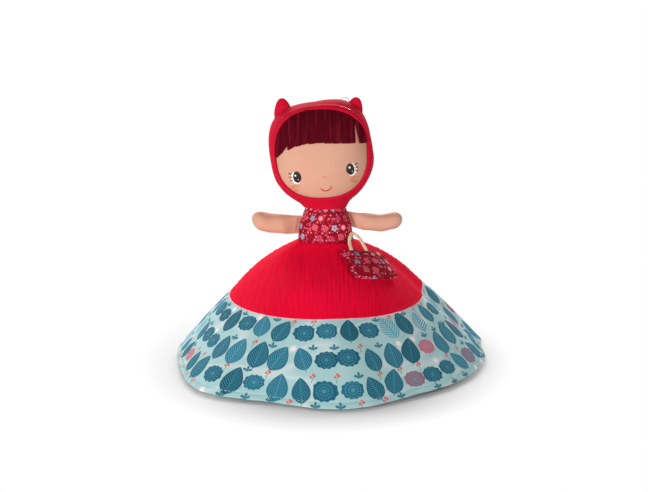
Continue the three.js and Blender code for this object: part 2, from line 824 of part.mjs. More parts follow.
for (const { name, geometry } of upperPanels) add(`skirt_upper_${name}`, geometry, 'red');
for (const { name, geometry } of borderPanels) add(`skirt_border_${name}`, geometry, 'aqua');
add('reverse_skirt', reverseSkirt, 'lining');
add('bodice', bodice, 'floral');
add('neck', neck, 'hood');
add('head', head, 'skin');
add('hood', hood, 'hood');
add('hair_fringe', fringe, 'hair');
add('hood_ear_left', hoodEars[0], 'hood');
add('hood_ear_right', hoodEars[1], 'hood');
add('hang_loop', hangLoop, 'thread');
add('arm_left', arms[0].geometry, 'skin');
add('arm_right', arms[1].geometry, 'skin');
add('bag', bag, 'floral');
add('bag_handle', bagHandle, 'cord');
add('reverse_bodice', reverseBodice, 'lining');
add('reverse_neck', reverseNeck, 'lining');
add('reverse_head', reverseHead, 'grey');
add('reverse_muzzle', reverseMuzzle, 'grey');
add('reverse_nose', reverseNose, 'dark');
add('reverse_ear_left', reverseEars[0], 'grey');
add('reverse_ear_right', reverseEars[1], 'grey');
add('reverse_arm_left', reverseArms[0].geometry, 'grey');
add('reverse_arm_right', reverseArms[1].geometry, 'grey');

// The origin is at the hem's level, below the middle of the whole doll.
const bounds = new THREE.Box3().setFromObject(doll);
const middle = bounds.getCenter(new THREE.Vector3());
doll.position.set(-middle.x, -middle.y, 0);

// Where the jointed pieces turn, in the placed doll.
const inPlace = (point) => point.clone().add(doll.position).toArray();
doll.userData.pivots = {
  neck: inPlace(neckPivot),
  reverse_neck: inPlace(reversePivot),
  arm_left: inPlace(arms[0].hinge.place),
  arm_left_lean: arms[0].hinge.lean / degrees,
  arm_right: inPlace(arms[1].hinge.place),
  arm_right_lean: arms[1].hinge.lean / degrees,
  reverse_arm_left: inPlace(reverseArms[0].place),
  reverse_arm_right: inPlace(reverseArms[1].place),
  bag_handle: inPlace(cordApex),
  bag_top_left: inPlace(bagPoint(-bagWidth / 2, -bagHeight / 2, bagLift + bagThickness / 2)),
  bag_top_right: inPlace(bagPoint(bagWidth / 2, -bagHeight / 2, bagLift + bagThickness / 2)),
  hang_loop: inPlace(new THREE.Vector3(hangLoopX, hangLoopY, hangLoopBase)),
  hem_front: inPlace(skirtPoint(2, 0, -cloth / 2)),
};

export default doll;
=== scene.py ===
"""The looks of a reversible rag-doll hand puppet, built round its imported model.

Shapes are worked out in millimetres in the doll's own frame: x across, y to the back, z up
from the hem, with the neck's upright line at x = y = 0. place() brings them to the model.
"""

import math

import bpy
import numpy as np
from mathutils import Euler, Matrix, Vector


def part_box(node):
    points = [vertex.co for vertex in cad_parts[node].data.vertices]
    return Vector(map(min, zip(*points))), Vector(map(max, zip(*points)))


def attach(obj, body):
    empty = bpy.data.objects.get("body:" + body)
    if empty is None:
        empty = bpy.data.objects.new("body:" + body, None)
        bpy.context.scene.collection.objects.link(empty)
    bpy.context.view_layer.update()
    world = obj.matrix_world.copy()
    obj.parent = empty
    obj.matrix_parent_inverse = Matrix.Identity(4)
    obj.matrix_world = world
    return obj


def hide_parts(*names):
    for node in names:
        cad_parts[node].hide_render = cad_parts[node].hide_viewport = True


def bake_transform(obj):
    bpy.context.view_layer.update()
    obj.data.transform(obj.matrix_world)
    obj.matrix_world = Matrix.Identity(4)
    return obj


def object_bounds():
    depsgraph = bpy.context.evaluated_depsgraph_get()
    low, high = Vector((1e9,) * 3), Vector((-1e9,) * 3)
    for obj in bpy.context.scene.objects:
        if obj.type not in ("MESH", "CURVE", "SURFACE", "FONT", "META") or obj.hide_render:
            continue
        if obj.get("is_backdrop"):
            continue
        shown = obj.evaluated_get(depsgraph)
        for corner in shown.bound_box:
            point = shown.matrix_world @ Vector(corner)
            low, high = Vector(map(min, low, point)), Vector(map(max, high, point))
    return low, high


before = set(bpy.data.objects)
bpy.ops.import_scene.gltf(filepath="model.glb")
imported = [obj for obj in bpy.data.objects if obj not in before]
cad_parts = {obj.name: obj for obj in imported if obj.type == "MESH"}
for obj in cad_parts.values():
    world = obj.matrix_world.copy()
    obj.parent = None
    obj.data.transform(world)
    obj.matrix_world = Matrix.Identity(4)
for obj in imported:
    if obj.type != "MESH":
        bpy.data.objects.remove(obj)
cad_low, cad_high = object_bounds()

MM = 0.001
FULL_TURN = 2 * np.pi
neck_low, neck_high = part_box("neck")
AXIS = np.array([neck_low[0] + neck_high[0], neck_low[1] + neck_high[1], 0]) / 2


def place(points):
    """The doll's millimetres as metres in the model: times MM, plus the neck's place."""
    return np.asarray(points, float) * MM + AXIS


def put(name, data):
    """A new object in the scene, at the origin."""
    made = bpy.data.objects.new(name, data)
    bpy.context.scene.collection.objects.link(made)
    return made


# Camera

CAMERA_FROM_AXIS = (-0.0015, -1.0, 0.330)
CAMERA_DOWN = math.radians(12.4)
FOCAL_PIXELS = 1020.0
FRAME_PIXELS = 648.0
SENSOR_MM = 36.0

camera_data = bpy.data.cameras.new("camera")
camera_data.sensor_width = SENSOR_MM
camera_data.lens = SENSOR_MM * FOCAL_PIXELS / FRAME_PIXELS
camera_data.clip_start = 0.05
camera_data.clip_end = 20.0
camera = put("camera", camera_data)
camera.location = Vector(AXIS) + Vector(CAMERA_FROM_AXIS)
camera.rotation_euler = Euler((math.pi / 2 - CAMERA_DOWN, 0, 0))
bpy.context.scene.camera = camera


# Sums that the shapes share


def clamp(value):
    """value, held between 0 and 1."""
    return np.clip(value, 0.0, 1.0)


def ease(value):
    """0 below 0, 1 above 1, and 3v^2 - 2v^3 between."""
    held = clamp(value)
    return held * held * (3 - 2 * held)


def mix(a, b, share):
    """a where share is 0 and b where it is 1, straight between."""
    return a + (b - a) * share


def grid(rows, columns):
    """Two grids: the row's value and the column's value at every place."""
    return np.meshgrid(rows, columns, indexing="ij")


def turns(count):
    """Even angles round a full turn."""
    return np.arange(count) * FULL_TURN / count


def vectors(*parts):
    """Vectors from their parts, numbers or grids."""
    return np.stack(np.broadcast_arrays(*parts), -1)


def unit(ways):
    """Vectors divided by their lengths."""
    return ways / np.linalg.norm(ways, axis=-1, keepdims=True)


def steps(*runs):
    """Even steps in several runs, each given by its start, its end and its count."""
    return np.concatenate([np.linspace(*run) for run in runs])


def circle(angle):
    """The place at an angle on a circle of radius 1: its cosine and its sine."""
    return vectors(np.cos(angle), np.sin(angle))


def signed_power(value, power):
    """|value| to a power, with the sign of value."""
    return np.sign(value) * np.abs(value) ** power


def turned(x, y, angle):
    """x and y turned by an angle: x cos - y sin, and x sin + y cos."""
    c, s = math.cos(angle), math.sin(angle)
    return x * c - y * s, x * s + y * c


def norm(x, y, power):
    """The norm of a power: |x| and |y| raised to it and added, then its root."""
    return (np.abs(x) ** power + np.abs(y) ** power) ** (1 / power)


def hump(value, middle, spread):
    """A bell: e to the minus half of ((value - middle) / spread) squared."""
    return np.exp(-0.5 * ((value - middle) / spread) ** 2)


def through(places, values, at):
    """A smooth line through values at places: cubic Hermite steps with slopes from neighbours."""
    places = np.asarray(places, float)
    values = np.asarray(values, float)
    slopes = np.gradient(values, places, axis=0)
    step = np.clip(np.searchsorted(places, at) - 1, 0, len(places) - 2)
    width = places[step + 1] - places[step]
    t = clamp((at - places[step]) / width)
    if values.ndim > 1:
        t, width = t[..., None], width[..., None]
    start = (2 * t**3 - 3 * t**2 + 1) * values[step] + (t**3 - 2 * t**2 + t) * width * slopes[step]
    end = (3 * t**2 - 2 * t**3) * values[step + 1] + (t**3 - t**2) * width * slopes[step + 1]
    return start + end


def waves(points, length, seed, count=7):
    """Soft unevenness: sines of about a length in seeded directions, added and divided by the root
    of their count."""
    draw = np.random.default_rng(seed)
    total = 0.0
    for _ in range(count):
        way = draw.normal(size=points.shape[-1])
        way *= FULL_TURN / (length * draw.uniform(0.7, 1.5) * np.linalg.norm(way))
        total = total + np.sin(points @ way + draw.uniform(0, FULL_TURN))
    return total / math.sqrt(count)


# Meshes


def outward(points, quads, fans):
    """1 if the faces point away from the points' middle, else -1: the sign of the sum over the
    faces of normal times area, dotted with their place from the middle."""
    from_middle = points - points.mean(0)
    total = 0.0
    for corners in (quads, fans):
        if len(corners):
            at = from_middle[corners]
            normal = np.cross(at[:, 1] - at[:, 0], at[:, 2] - at[:, 0])
            if corners.shape[1] == 4:
                normal = normal + np.cross(at[:, 2] - at[:, 0], at[:, 3] - at[:, 0])
            total += (normal * at.mean(1)).sum()
    return 1 if total > 0 else -1


def make_piece(name, points, quads, fans=None, uv=None, fan_uv=None):
    """A smooth mesh object at the origin, from points in the doll's millimetres, four-cornered
    faces and any three-cornered ones, with the flat place of each corner where it has cloth."""
    fans = np.zeros((0, 3), int) if fans is None else fans
    way = outward(points, quads, fans)
    faces = [*quads[:, ::way].tolist(), *fans[:, ::way].tolist()]
    mesh = bpy.data.meshes.new(name)
    mesh.from_pydata(place(points).tolist(), [], faces)
    if uv is not None:
        corners = [uv[:, ::way].reshape(-1, 2)]
        if fan_uv is not None:
            corners.append(fan_uv[:, ::way].reshape(-1, 2))
        layer = mesh.uv_layers.new(name="cloth")
        layer.data.foreach_set("uv", np.concatenate(corners).astype(np.float32).ravel())
    mesh.polygons.foreach_set("use_smooth", [True] * len(mesh.polygons))
    mesh.update()
    return put(name, mesh)


def grid_faces(rows, columns):
    """Faces over rows of points that go round: the last column is joined to the first."""
    row, column = grid(np.arange(rows - 1), np.arange(columns))
    after = (column + 1) % columns
    corners = [row * columns + column, row * columns + after]
    corners += [(row + 1) * columns + after, (row + 1) * columns + column]
    return np.stack([corner.ravel() for corner in corners], -1)


def flat_corners(flat):
    """The flat places of each face's corners, from a grid of them with one column more."""
    corners = (flat[:-1, :-1], flat[:-1, 1:], flat[1:, 1:], flat[1:, :-1])
    return np.stack(corners, 2).reshape(-1, 4, 2)


def sheet_piece(name, points, across, down):
    """One layer of cloth over rows of points that go round, with its flat places."""
    flat = flat_corners(np.stack(np.meshgrid(across, down), -1))
    return make_piece(name, points.reshape(-1, 3), grid_faces(*points.shape[:2]), uv=flat)


def closed_bodies(name, bodies, flats=None):
    """Closed bodies in one mesh. Each is rings of points, the first and the last closed by a fan
    to their middle. flats gives the flat place of each point where the body is printed cloth,
    with one column more than the points where the print goes round it."""
    points, quads, fans, quad_places, fan_places = [], [], [], [], []
    first = 0
    for number, rings in enumerate(bodies):
        count, sides = rings.shape[:2]
        side = np.arange(sides)
        after = (side + 1) % sides
        last = (count - 1) * sides
        middle = np.full(sides, count * sides)
        near = np.stack([middle, after, side], -1)
        far = np.stack([middle + 1, last + side, last + after], -1)
        points.append(np.concatenate([rings.reshape(-1, 3), rings[[0, -1]].mean(1)]))
        quads.append(grid_faces(count, sides) + first)
        fans.append(np.concatenate([near, far]) + first)
        first += len(points[-1])
        if flats is not None:
            flat = flats[number]
            if flat.shape[1] == sides:
                flat = np.concatenate([flat, flat[:, :1]], 1)
            quad_places.append(flat_corners(flat))
            for row, order in ((0, (2, 1, 0)), (-1, (2, 0, 1))):
                start, end = flat[row, :-1], flat[row, 1:]
                corners = (start, end, (start + end) / 2)
                fan_places.append(np.stack([corners[i] for i in order], 1))
    uv = fan_uv = None
    if flats is not None:
        uv, fan_uv = np.concatenate(quad_places), np.concatenate(fan_places)
    points, quads, fans = (np.concatenate(part) for part in (points, quads, fans))
    return make_piece(name, points, quads, fans, uv, fan_uv)


def closed_piece(name, rings, flat=None):
    """One closed body of rings of points."""
    return closed_bodies(name, [rings], None if flat is None else [flat])


def shell_piece(name, outer, rim, inner):
    """A closed wall: an outer grid, a rolled rim that joins its first ring to the inner grid's
    first, and the inner grid, whose last ring is the outer one's."""
    rings = np.concatenate([outer[::-1], rim, inner])
    count, sides = rings.shape[:2]
    quads = grid_faces(count, sides)
    last = (count - 1) * sides
    quads = np.where(quads >= last, quads - last, quads)
    return make_piece(name, rings[:-1].reshape(-1, 3), quads)


def tube_points(path, radius, sides, across=1.0, guide=(0.3, 0.2, 1.0)):
    """Rings of a round or flattened tube along a path, each turned with the one before it."""
    path = np.asarray(path, float)
    along = unit(np.gradient(path, axis=0))
    side = np.zeros_like(along)
    guide = np.asarray(guide, float)
    for i, way in enumerate(along):
        guide = unit(guide - way * (guide @ way))
        side[i] = guide
    up = np.cross(along, side)
    turn = turns(sides)[:, None]
    radius = np.broadcast_to(radius, len(path))[:, None, None]
    ring = side[:, None] * np.cos(turn) * across + up[:, None] * np.sin(turn)
    return path[:, None] + ring * radius


def smooth_path(points, count):
    """A smooth line through points, by the square root of their spacing, in even steps of it."""
    points = np.asarray(points, float)
    gaps = np.sqrt(np.linalg.norm(np.diff(points, axis=0), axis=1))
    places = np.concatenate([[0], np.cumsum(gaps)])
    return through(places, points, np.linspace(0, places[-1], count))


# Nodes: every operator on a Value adds the one that works it out


def linear(code):
    """A colour written as six hexadecimal digits, as the linear numbers of a shader."""
    parts = [int(code[i : i + 2], 16) / 255 for i in (0, 2, 4)]
    return tuple(p / 12.92 if p <= 0.04045 else ((p + 0.055) / 1.055) ** 2.4 for p in parts)


class Value:
    """A number, vector or colour over the surface. Operators on it add Math nodes to its tree."""

    def __init__(self, nodes, socket):
        self.nodes = nodes
        self.socket = socket

    def __add__(self, other):
        return self.nodes.math("ADD", self, other)

    __radd__ = __add__

    def __sub__(self, other):
        return self.nodes.math("SUBTRACT", self, other)

    def __rsub__(self, other):
        return self.nodes.math("SUBTRACT", other, self)

    def __mul__(self, other):
        return self.nodes.math("MULTIPLY", self, other)

    __rmul__ = __mul__

    def __truediv__(self, other):
        return self.nodes.math("DIVIDE", self, other)

    def __rtruediv__(self, other):
        return self.nodes.math("DIVIDE", other, self)

    def __pow__(self, other):
        return self.nodes.math("POWER", self, other)

    def __neg__(self):
        return self.nodes.math("MULTIPLY", self, -1.0)

    def __abs__(self):
        return self.nodes.math("ABSOLUTE", self)


class Nodes:
    """A node tree, and the nodes that are added to it."""

    def __init__(self, tree):
        self.tree = tree

    def give(self, socket, value):
        """Fills a socket: a Value is joined to it, and a string is a colour's six digits."""
        if isinstance(value, Value):
            self.tree.links.new(value.socket, socket)
        elif isinstance(value, str):
            socket.default_value = (*linear(value), 1.0)
        else:
            socket.default_value = value

    def node(self, kind, settings=None, sockets=None, out=0):
        """Adds a node of a kind: its settings first, then its sockets; gives one of its outputs."""
        node = self.tree.nodes.new(kind)
        for name, value in (settings or {}).items():
            setattr(node, name, value)
        for name, value in (sockets or {}).items():
            self.give(node.inputs[name], value)
        return Value(self, node.outputs[out])

    def math(self, operation, *values, limit=False):
        """One Math node."""
        settings = {"operation": operation, "use_clamp": limit}
        return self.node("ShaderNodeMath", settings, dict(enumerate(values)))

    def floor(self, value):
        return self.math("FLOOR", value)

    def sine(self, value):
        return self.math("SINE", value)

    def cosine(self, value):
        return self.math("COSINE", value)

    def most(self, a, b):
        return self.math("MAXIMUM", a, b)

    def length(self, a, b):
        return (a * a + b * b) ** 0.5

    def below(self, value, edge, soft):
        """1 where value is under the edge, 0 above it, with a soft step between."""
        return self.math("MULTIPLY_ADD", edge - value, 1.0 / soft, 0.5, limit=True)

    def near(self, value, edge, soft):
        """1 where |value| is under the edge, with a soft step."""
        return self.below(abs(value), edge, soft)

    def between(self, chance, low, high):
        """1 where a chance lies between two shares."""
        return self.below(chance, high, 0.001) * self.below(low - chance, 0.0, 0.001)

    def stripe(self, value):
        """Distance from the middle of a whole step: |v - floor v - 1/2|."""
        return abs(value - self.floor(value) - 0.5)

    def leaned_back(self, u, v, angle):
        """u and v turned back by an angle: u cos + v sin, and v cos - u sin."""
        c, s = self.cosine(angle), self.sine(angle)
        return u * c + v * s, v * c - u * s

    def colour(self, under, over, amount):
        """under with over laid on it where amount is 1."""
        sockets = {0: amount, 6: under, 7: over}
        return self.node("ShaderNodeMix", {"data_type": "RGBA"}, sockets, out=2)

    def parts(self, vector):
        """The three numbers of a vector."""
        first = self.node("ShaderNodeSeparateXYZ", sockets={0: vector})
        return [Value(self, out) for out in first.socket.node.outputs]

    def join(self, x, y, z=0.0):
        """A vector from three numbers."""
        return self.node("ShaderNodeCombineXYZ", sockets={0: x, 1: y, 2: z})

    def flat_place(self):
        """Where a point is on the flat cloth, across and down, in millimetres; but across a sheet
        that goes all the way round it runs to FLAT_ROUND."""
        return self.parts(self.node("ShaderNodeUVMap", {"uv_map": "cloth"}))[:2]

    def own_place(self):
        """Where a point is in its object, as a vector in metres."""
        return self.node("ShaderNodeTexCoord", out="Object")

    def light_path(self, kind):
        """1 for a kind of ray."""
        return self.node("ShaderNodeLightPath", out=kind)

    def noise(self, place, scale, detail=2.0, roughness=0.5):
        """Smooth noise from 0 to 1."""
        sockets = {"Vector": place, "Scale": scale, "Detail": detail, "Roughness": roughness}
        return self.node("ShaderNodeTexNoise", sockets=sockets)

    def flat_noise(self, x, y, z=0.0, detail=2.0):
        """Smooth noise over places that are already in steps of it."""
        return self.noise(self.join(x, y, z), 1.0, detail)

    def chance(self, column, row, seed):
        """Three numbers from 0 to 1 that belong to one cell of a pattern."""
        cell = {"Vector": self.join(column, row, seed)}
        return self.parts(self.node("ShaderNodeTexWhiteNoise", {"noise_dimensions": "3D"}, cell, "Color"))


class Finish(Nodes):
    """A material: its shader and the nodes before it."""

    def __init__(self, name, constants):
        self.material = bpy.data.materials.new(name)
        self.material.use_nodes = True
        super().__init__(self.material.node_tree)
        self.inputs = self.tree.nodes["Principled BSDF"].inputs
        for socket, value in constants.items():
            self.give(self.inputs[socket], value)

    def paint(self, colour):
        """Makes a colour the base colour."""
        self.painted = colour
        self.give(self.inputs["Base Color"], colour)

    def lay(self, colour, amount):
        """Lays a colour over the painted one where amount is 1."""
        self.paint(self.colour(self.painted, colour, amount))

    def emboss(self, height, distance, strength=1.0):
        """Height from 0 to 1, as relief of a distance in metres."""
        sockets = {"Height": height, "Distance": distance, "Strength": strength}
        self.give(self.inputs["Normal"], self.node("ShaderNodeBump", sockets=sockets))


# Skirt

WAIST = np.array([27.0, 117.7])
TIER_SEAM = np.array([97.0, 61.5])
HEM = np.array([153.0, 0.0])
UPPER_CROWN = 5.6
BORDER_CROWN = 1.6
WAIST_FLATTENING = 0.25
FLATTENING_REACH = 0.35
FOLD_LIFT = 1.8
HEM_LEVEL_FROM = 1.6
OUTLINE_STEP = 0.02
CLOTH = 1.2
CLOTH_GAP = 0.3
CLOTH_WALL = 0.7
BORDER_SLANT = 83.2

# Folds: degrees round from the front, spread, and how far each stands out at the tier seam and hem
FOLDS = (
    (-41, 13, 0, 17),
    (6, 12, 2, 14),
    (62, 24, 0, 9),
    (93, 6, -3, -6),
    (108, 15, 7, 16),
    (-80, 14, 0, -3),
    (150, 14, 2, 6),
    (-165, 16, 3, 9),
    (-125, 14, 2, 6),
)


def bowed(start, end, crown, t):
    """A quadratic curve between two points of the side view, its middle raised by a crown."""
    along = end - start
    out = np.array([-along[1], along[0]]) / np.hypot(*along)
    middle = (start + end) / 2 + 2 * crown * out
    t = np.asarray(t, float)[..., None]
    return (1 - t) ** 2 * start + 2 * t * (1 - t) * middle + t * t * end


def skirt_outline(down):
    """Radius and height of the skirt's face: 0 at the waist, 1 at the tier seam, 2 at the hem."""
    upper = bowed(WAIST, TIER_SEAM, UPPER_CROWN, clamp(down))
    border = bowed(TIER_SEAM, HEM, BORDER_CROWN, clamp(down - 1))
    return np.where((down <= 1)[..., None], upper, border)


def turn_from(turn, middle):
    """How far a turn in degrees is from another, between -180 and 180."""
    return (turn - middle + 180) % 360 - 180


def skirt_points(down, turn, out=0.0):
    """The skirt's face at a place down and a turn in degrees, moved off it by out.

    The side view is turned about the upright axis. Each fold adds a bell of the turn to the
    radius, and its share of that to the height; towards the waist y is flattened."""
    down, turn, out = np.broadcast_arrays(np.asarray(down, float), turn, out)
    at = skirt_outline(down)
    after, before = (skirt_outline(np.clip(down + step, 0, 2)) for step in (OUTLINE_STEP, -OUTLINE_STEP))
    tangent = unit(after - before)
    normal = vectors(-tangent[..., 1], tangent[..., 0])
    level = clamp((down - HEM_LEVEL_FROM) / (2 - HEM_LEVEL_FROM))
    way = vectors(mix(normal[..., 0], 1, level), mix(normal[..., 1], 0, level))
    at = at + (out / (normal * way).sum(-1))[..., None] * way
    share = down / 2
    rise = 0.0
    for middle, spread, at_seam, at_hem in FOLDS:
        height = at_seam * 4 * share * (1 - share) + at_hem * share * (2 * share - 1)
        rise = rise + height * hump(turn_from(turn, middle), 0, spread)
    radius = at[..., 0] + rise
    height = at[..., 1] + rise * FOLD_LIFT * (1 - share)
    flat = 1 - WAIST_FLATTENING * (1 - ease(share / FLATTENING_REACH))
    angle = np.radians(turn)
    return vectors(radius * np.sin(angle), -radius * np.cos(angle) * flat, height)


def cloth_wall(piece):
    """Gives a sheet its thickness, inwards."""
    wall = piece.modifiers.new("cloth", "SOLIDIFY")
    wall.thickness = CLOTH_WALL * MM
    wall.offset = -1
    wall.use_even_offset = False


SKIRT_COLUMNS = 576
# The flat place across the border and the lining runs from 0 to this, all the way round
FLAT_ROUND = 1000
COLUMN = 360 / SKIRT_COLUMNS
skirt_turns = np.arange(SKIRT_COLUMNS) * 360 / SKIRT_COLUMNS - 180
flat_turns = np.arange(SKIRT_COLUMNS + 1) / SKIRT_COLUMNS

# Upper tier: a front and a back panel, crinkled along their middle line, with a rolled lower edge
UPPER_LENGTH = 90.5
CONE = (TIER_SEAM[0] - WAIST[0]) / UPPER_LENGTH


def panel_flat(down, turn, panel):
    """Where a point of the red tier lies on its flat panel, whose middle is at a turn of panel:
    the cone unrolled, across = slant sin(cone turn) and down = slant cos(cone turn)."""
    angle = np.radians(turn - panel) * CONE
    slant = WAIST[0] / CONE + down * UPPER_LENGTH
    return vectors(slant * np.sin(angle), slant * np.cos(angle))


def panel_at(turn):
    """The turn of the middle of the panel that a turn is on: 0 at the front, 180 or -180 behind."""
    return np.where(np.abs(turn) <= 90, 0.0, 180.0 * np.sign(turn))


upper_down = steps((0, 0.9, 44), (0.915, 0.998, 9))
d, turn = grid(upper_down, skirt_turns)
run = np.abs(panel_flat(d, turn, panel_at(turn))) * np.array([1.0, 0.09])
crinkles = 0.26 * waves(run, 3.6, 11, 9) * ease(d / 0.25) + 0.14 * waves(run, 1.7, 12, 9)
roll = 0.55 * hump(d, 1.0, 0.022)
side_seam = -0.5 * hump(np.abs(turn), 90, 0.45)
red_points = skirt_points(d, turn, -0.5 + crinkles * (1 - 0.6 * ease((d - 0.9) / 0.1)) + roll + side_seam)
quads = grid_faces(len(upper_down), SKIRT_COLUMNS)
left_turn = skirt_turns[quads[:, :1] % SKIRT_COLUMNS]
corner_turns = left_turn + COLUMN * np.array([0, 1, 1, 0])
red_flat = panel_flat(upper_down[quads // SKIRT_COLUMNS], corner_turns, panel_at(left_turn + COLUMN / 2))
red_tier = make_piece("red_tier", red_points.reshape(-1, 3), quads, uv=red_flat)
cloth_wall(red_tier)

# Printed border: a seam at its top, light puckers, a stitched hem and a lift where the lining shows
BORDER_FROM = 0.985
HEM_BAND = 4.6
HEM_LIFT = 1.8
HEM_WAVE = 3.6
FRONT_FOLD = 6.0
LINING_SHOWS_AT = 24.0
LINING_SHOWS_OVER = 20.0


def border_out(down, turn):
    """How far the border stands off its face: puckers at both edges, a thicker hem band, and a
    line pulled in along the stitching."""
    slant = (down - 1) * BORDER_SLANT
    round_it = circle(np.radians(turn))
    pucker = waves(np.concatenate([round_it * 30, down[..., None] * 0.5], -1), 2.4, 21, 9)
    stitch = BORDER_SLANT - HEM_BAND
    puckers = 0.45 * pucker * (0.75 * hump(slant, stitch + 2, 5) + 0.6 * hump(slant, 0, 3.5))
    soft = waves(np.concatenate([round_it * 9, down[..., None] * 3], -1), 3.2, 22)
    band = 0.35 * ease((slant - stitch) / 0.8) - 0.45 * hump(slant, stitch, 0.7)
    return -0.4 + puckers + 0.5 * soft * ease(slant / 20) + band


def hem_wave(down, turn):
    """The skirt's rise off the floor near its hem: nearly a millimetre all round, and up to
    HEM_WAVE more in three soft waves, (1 - cos(3 turns)) / 2, between the folds it stands on."""
    wave = 0.5 - 0.5 * np.cos(np.radians(3 * (turn - FRONT_FOLD)))
    return HEM_WAVE * wave * ease((down - 1.5) / 0.5) + 0.9 * ease((down - 1.85) / 0.15)


def lining_shows(turn):
    """A bell of the turn round the place where the lining shows under the hem."""
    return hump(turn_from(turn, LINING_SHOWS_AT), 0, LINING_SHOWS_OVER)


def hem_lift(down, turn):
    """The border's rise near the hem: the wave, and more where the lining shows under it."""
    return hem_wave(down, turn) + HEM_LIFT * lining_shows(turn) * ease((down - 1.7) / 0.3)


border_down = steps((BORDER_FROM, 1.03, 6), (1.05, 1.9, 40), (1.915, 2.0, 12))
d, turn = grid(border_down, skirt_turns)
tuck = -0.9 * (1 - ease((d - BORDER_FROM) / 0.03))
border_points = skirt_points(d, turn, border_out(d, turn) + tuck)
border_points[..., 2] += hem_lift(d, turn)
border_flat_down = (border_down - 1) * BORDER_SLANT
border = sheet_piece("printed_border", border_points, flat_turns * FLAT_ROUND, border_flat_down)
cloth_wall(border)

# Topstitch: short thread humps that follow the border just above the hem
HEM_RADIUS = 148.0
STITCH_LENGTH = 2.3
STITCH_PITCH = 3.2
STITCH_RISE = 0.42
STITCH_ROWS = 7
STITCH_SIDES = 6
THREAD = 0.28
stitch_count = int(FULL_TURN * HEM_RADIUS / STITCH_PITCH)
stitch_turns = np.arange(stitch_count) * 360 / stitch_count - 180


def stitch_points(down):
    """Thread humps along a line at a place down: a capsule each, its radius the root of one minus
    the fourth power of its share, sunk at both ends."""
    share = np.linspace(-1, 1, STITCH_ROWS)
    t, s, a = np.meshgrid(stitch_turns, share, turns(STITCH_SIDES), indexing="ij")
    radius = THREAD * np.sqrt(np.maximum(1 - s**4, 0.02))
    at_turn = t + s * np.degrees(STITCH_LENGTH / 2 / skirt_outline(np.array(down))[0])
    at_down = down + radius * np.cos(a) / BORDER_SLANT
    out = border_out(at_down, at_turn) + STITCH_RISE + radius * np.sin(a) - 0.3 * s**2
    points = skirt_points(at_down, at_turn, out)
    points[..., 2] += hem_lift(at_down, at_turn)
    return points.reshape(-1, 3)


def stitch_faces():
    """Faces of the closed six-sided capsules, stored one after another."""
    starts = np.array([[0, 3, 2, 1], [0, 5, 4, 3]])
    ends = np.array([[0, 1, 2, 3], [0, 3, 4, 5]]) + (STITCH_ROWS - 1) * STITCH_SIDES
    one = np.concatenate([grid_faces(STITCH_ROWS, STITCH_SIDES), starts, ends])
    first = np.arange(stitch_count)[:, None, None] * STITCH_ROWS * STITCH_SIDES
    return (one + first).reshape(-1, 4)


hem_stitches = make_piece("hem_stitches", stitch_points(2 - HEM_BAND / BORDER_SLANT), stitch_faces())

# Lining: the other side's skirt, plain, inside both tiers
LINING_LENGTH = UPPER_LENGTH + BORDER_SLANT
LINING_DEPTH = CLOTH + CLOTH_GAP + 0.35
lining_down = steps((0, 1.9, 60), (1.92, 2.0, 8))
d, turn = grid(lining_down, skirt_turns[::2])
angle = np.radians(turn)
soft = 0.25 * waves(vectors(d * 6, np.cos(angle) * 8, np.sin(angle) * 8), 3.0, 31)
show = lining_shows(turn) * ease((d - 1.9) / 0.08)
at_hem = ease((d - 1.9) / 0.1)
lining_out = -LINING_DEPTH - 0.5 * ease((d - 1.5) / 0.3) + soft * (1 - at_hem) + show
lining_points = skirt_points(d, turn, lining_out)
lining_points[..., 2] += hem_wave(d, turn) + 0.5 * at_hem * (1 - show)
lining_flat_down = lining_down / 2 * LINING_LENGTH
lining = sheet_piece("lining_skirt", lining_points, flat_turns[::2] * FLAT_ROUND, lining_flat_down)
cloth_wall(lining)


# Bodice and neck

NECK_PIVOT = np.array([0.0, 0.0, 140.0])
NECK_BALL = 22.7
NECK_SPLIT = 151.5
THROAT_MOUTH = 150.8
BODICE_SIDES = 160
BODICE_FLAT_RADIUS = 25

# Heights, half widths and half depths of the stuffed body
BODICE_STATIONS = np.array(
    [
        (117.2, 118.2, 120.5, 126.3, 134.5, 140.3, 146.0, 148.8, 151.5),
        (27.7, 27.9, 28.2, 27.3, 25.9, 24.1, 21.9, 20.9, 19.5),
        (20.8, 20.9, 21.0, 21.0, 21.3, 21.5, 21.9, 20.9, 19.5),
    ]
)


def body_half(stations, height):
    """Half width and half depth of a body at a height, on a smooth line through its stations."""
    return through(stations[0], stations[1:].T, height)


def body_points(stations, turn, height, off):
    """A body's points: (half width + off) sin(turn) across and (half depth + off) cos(turn)
    forward at each height."""
    width, depth = np.moveaxis(body_half(stations, height), -1, 0)
    return vectors((width + off) * np.sin(turn), -(depth + off) * np.cos(turn), height)


bodice_heights = steps((117.3, 119.5, 6), (120.2, 151.2, 46))
z, turn = grid(bodice_heights, turns(BODICE_SIDES) + np.pi)
round_it = vectors(np.sin(turn) * 4, np.cos(turn) * 4, z / 9)
rise = z - bodice_heights[0]
gathers = 0.18 * np.cos(turn * 34 + 2.2 * waves(round_it, 4, 41)) * np.exp(-rise / 3.0)
dimples = 0.35 * waves(round_it, 2.6, 42) * ease(rise / 5)
bodice_round = np.arange(BODICE_SIDES + 1) / BODICE_SIDES * FULL_TURN * BODICE_FLAT_RADIUS
bodice_flat = np.stack(np.meshgrid(bodice_round, bodice_heights), -1)
bodice_points = body_points(BODICE_STATIONS, turn, z, -0.35 + gathers + dimples)
bodice = closed_piece("bodice_body", bodice_points, bodice_flat)


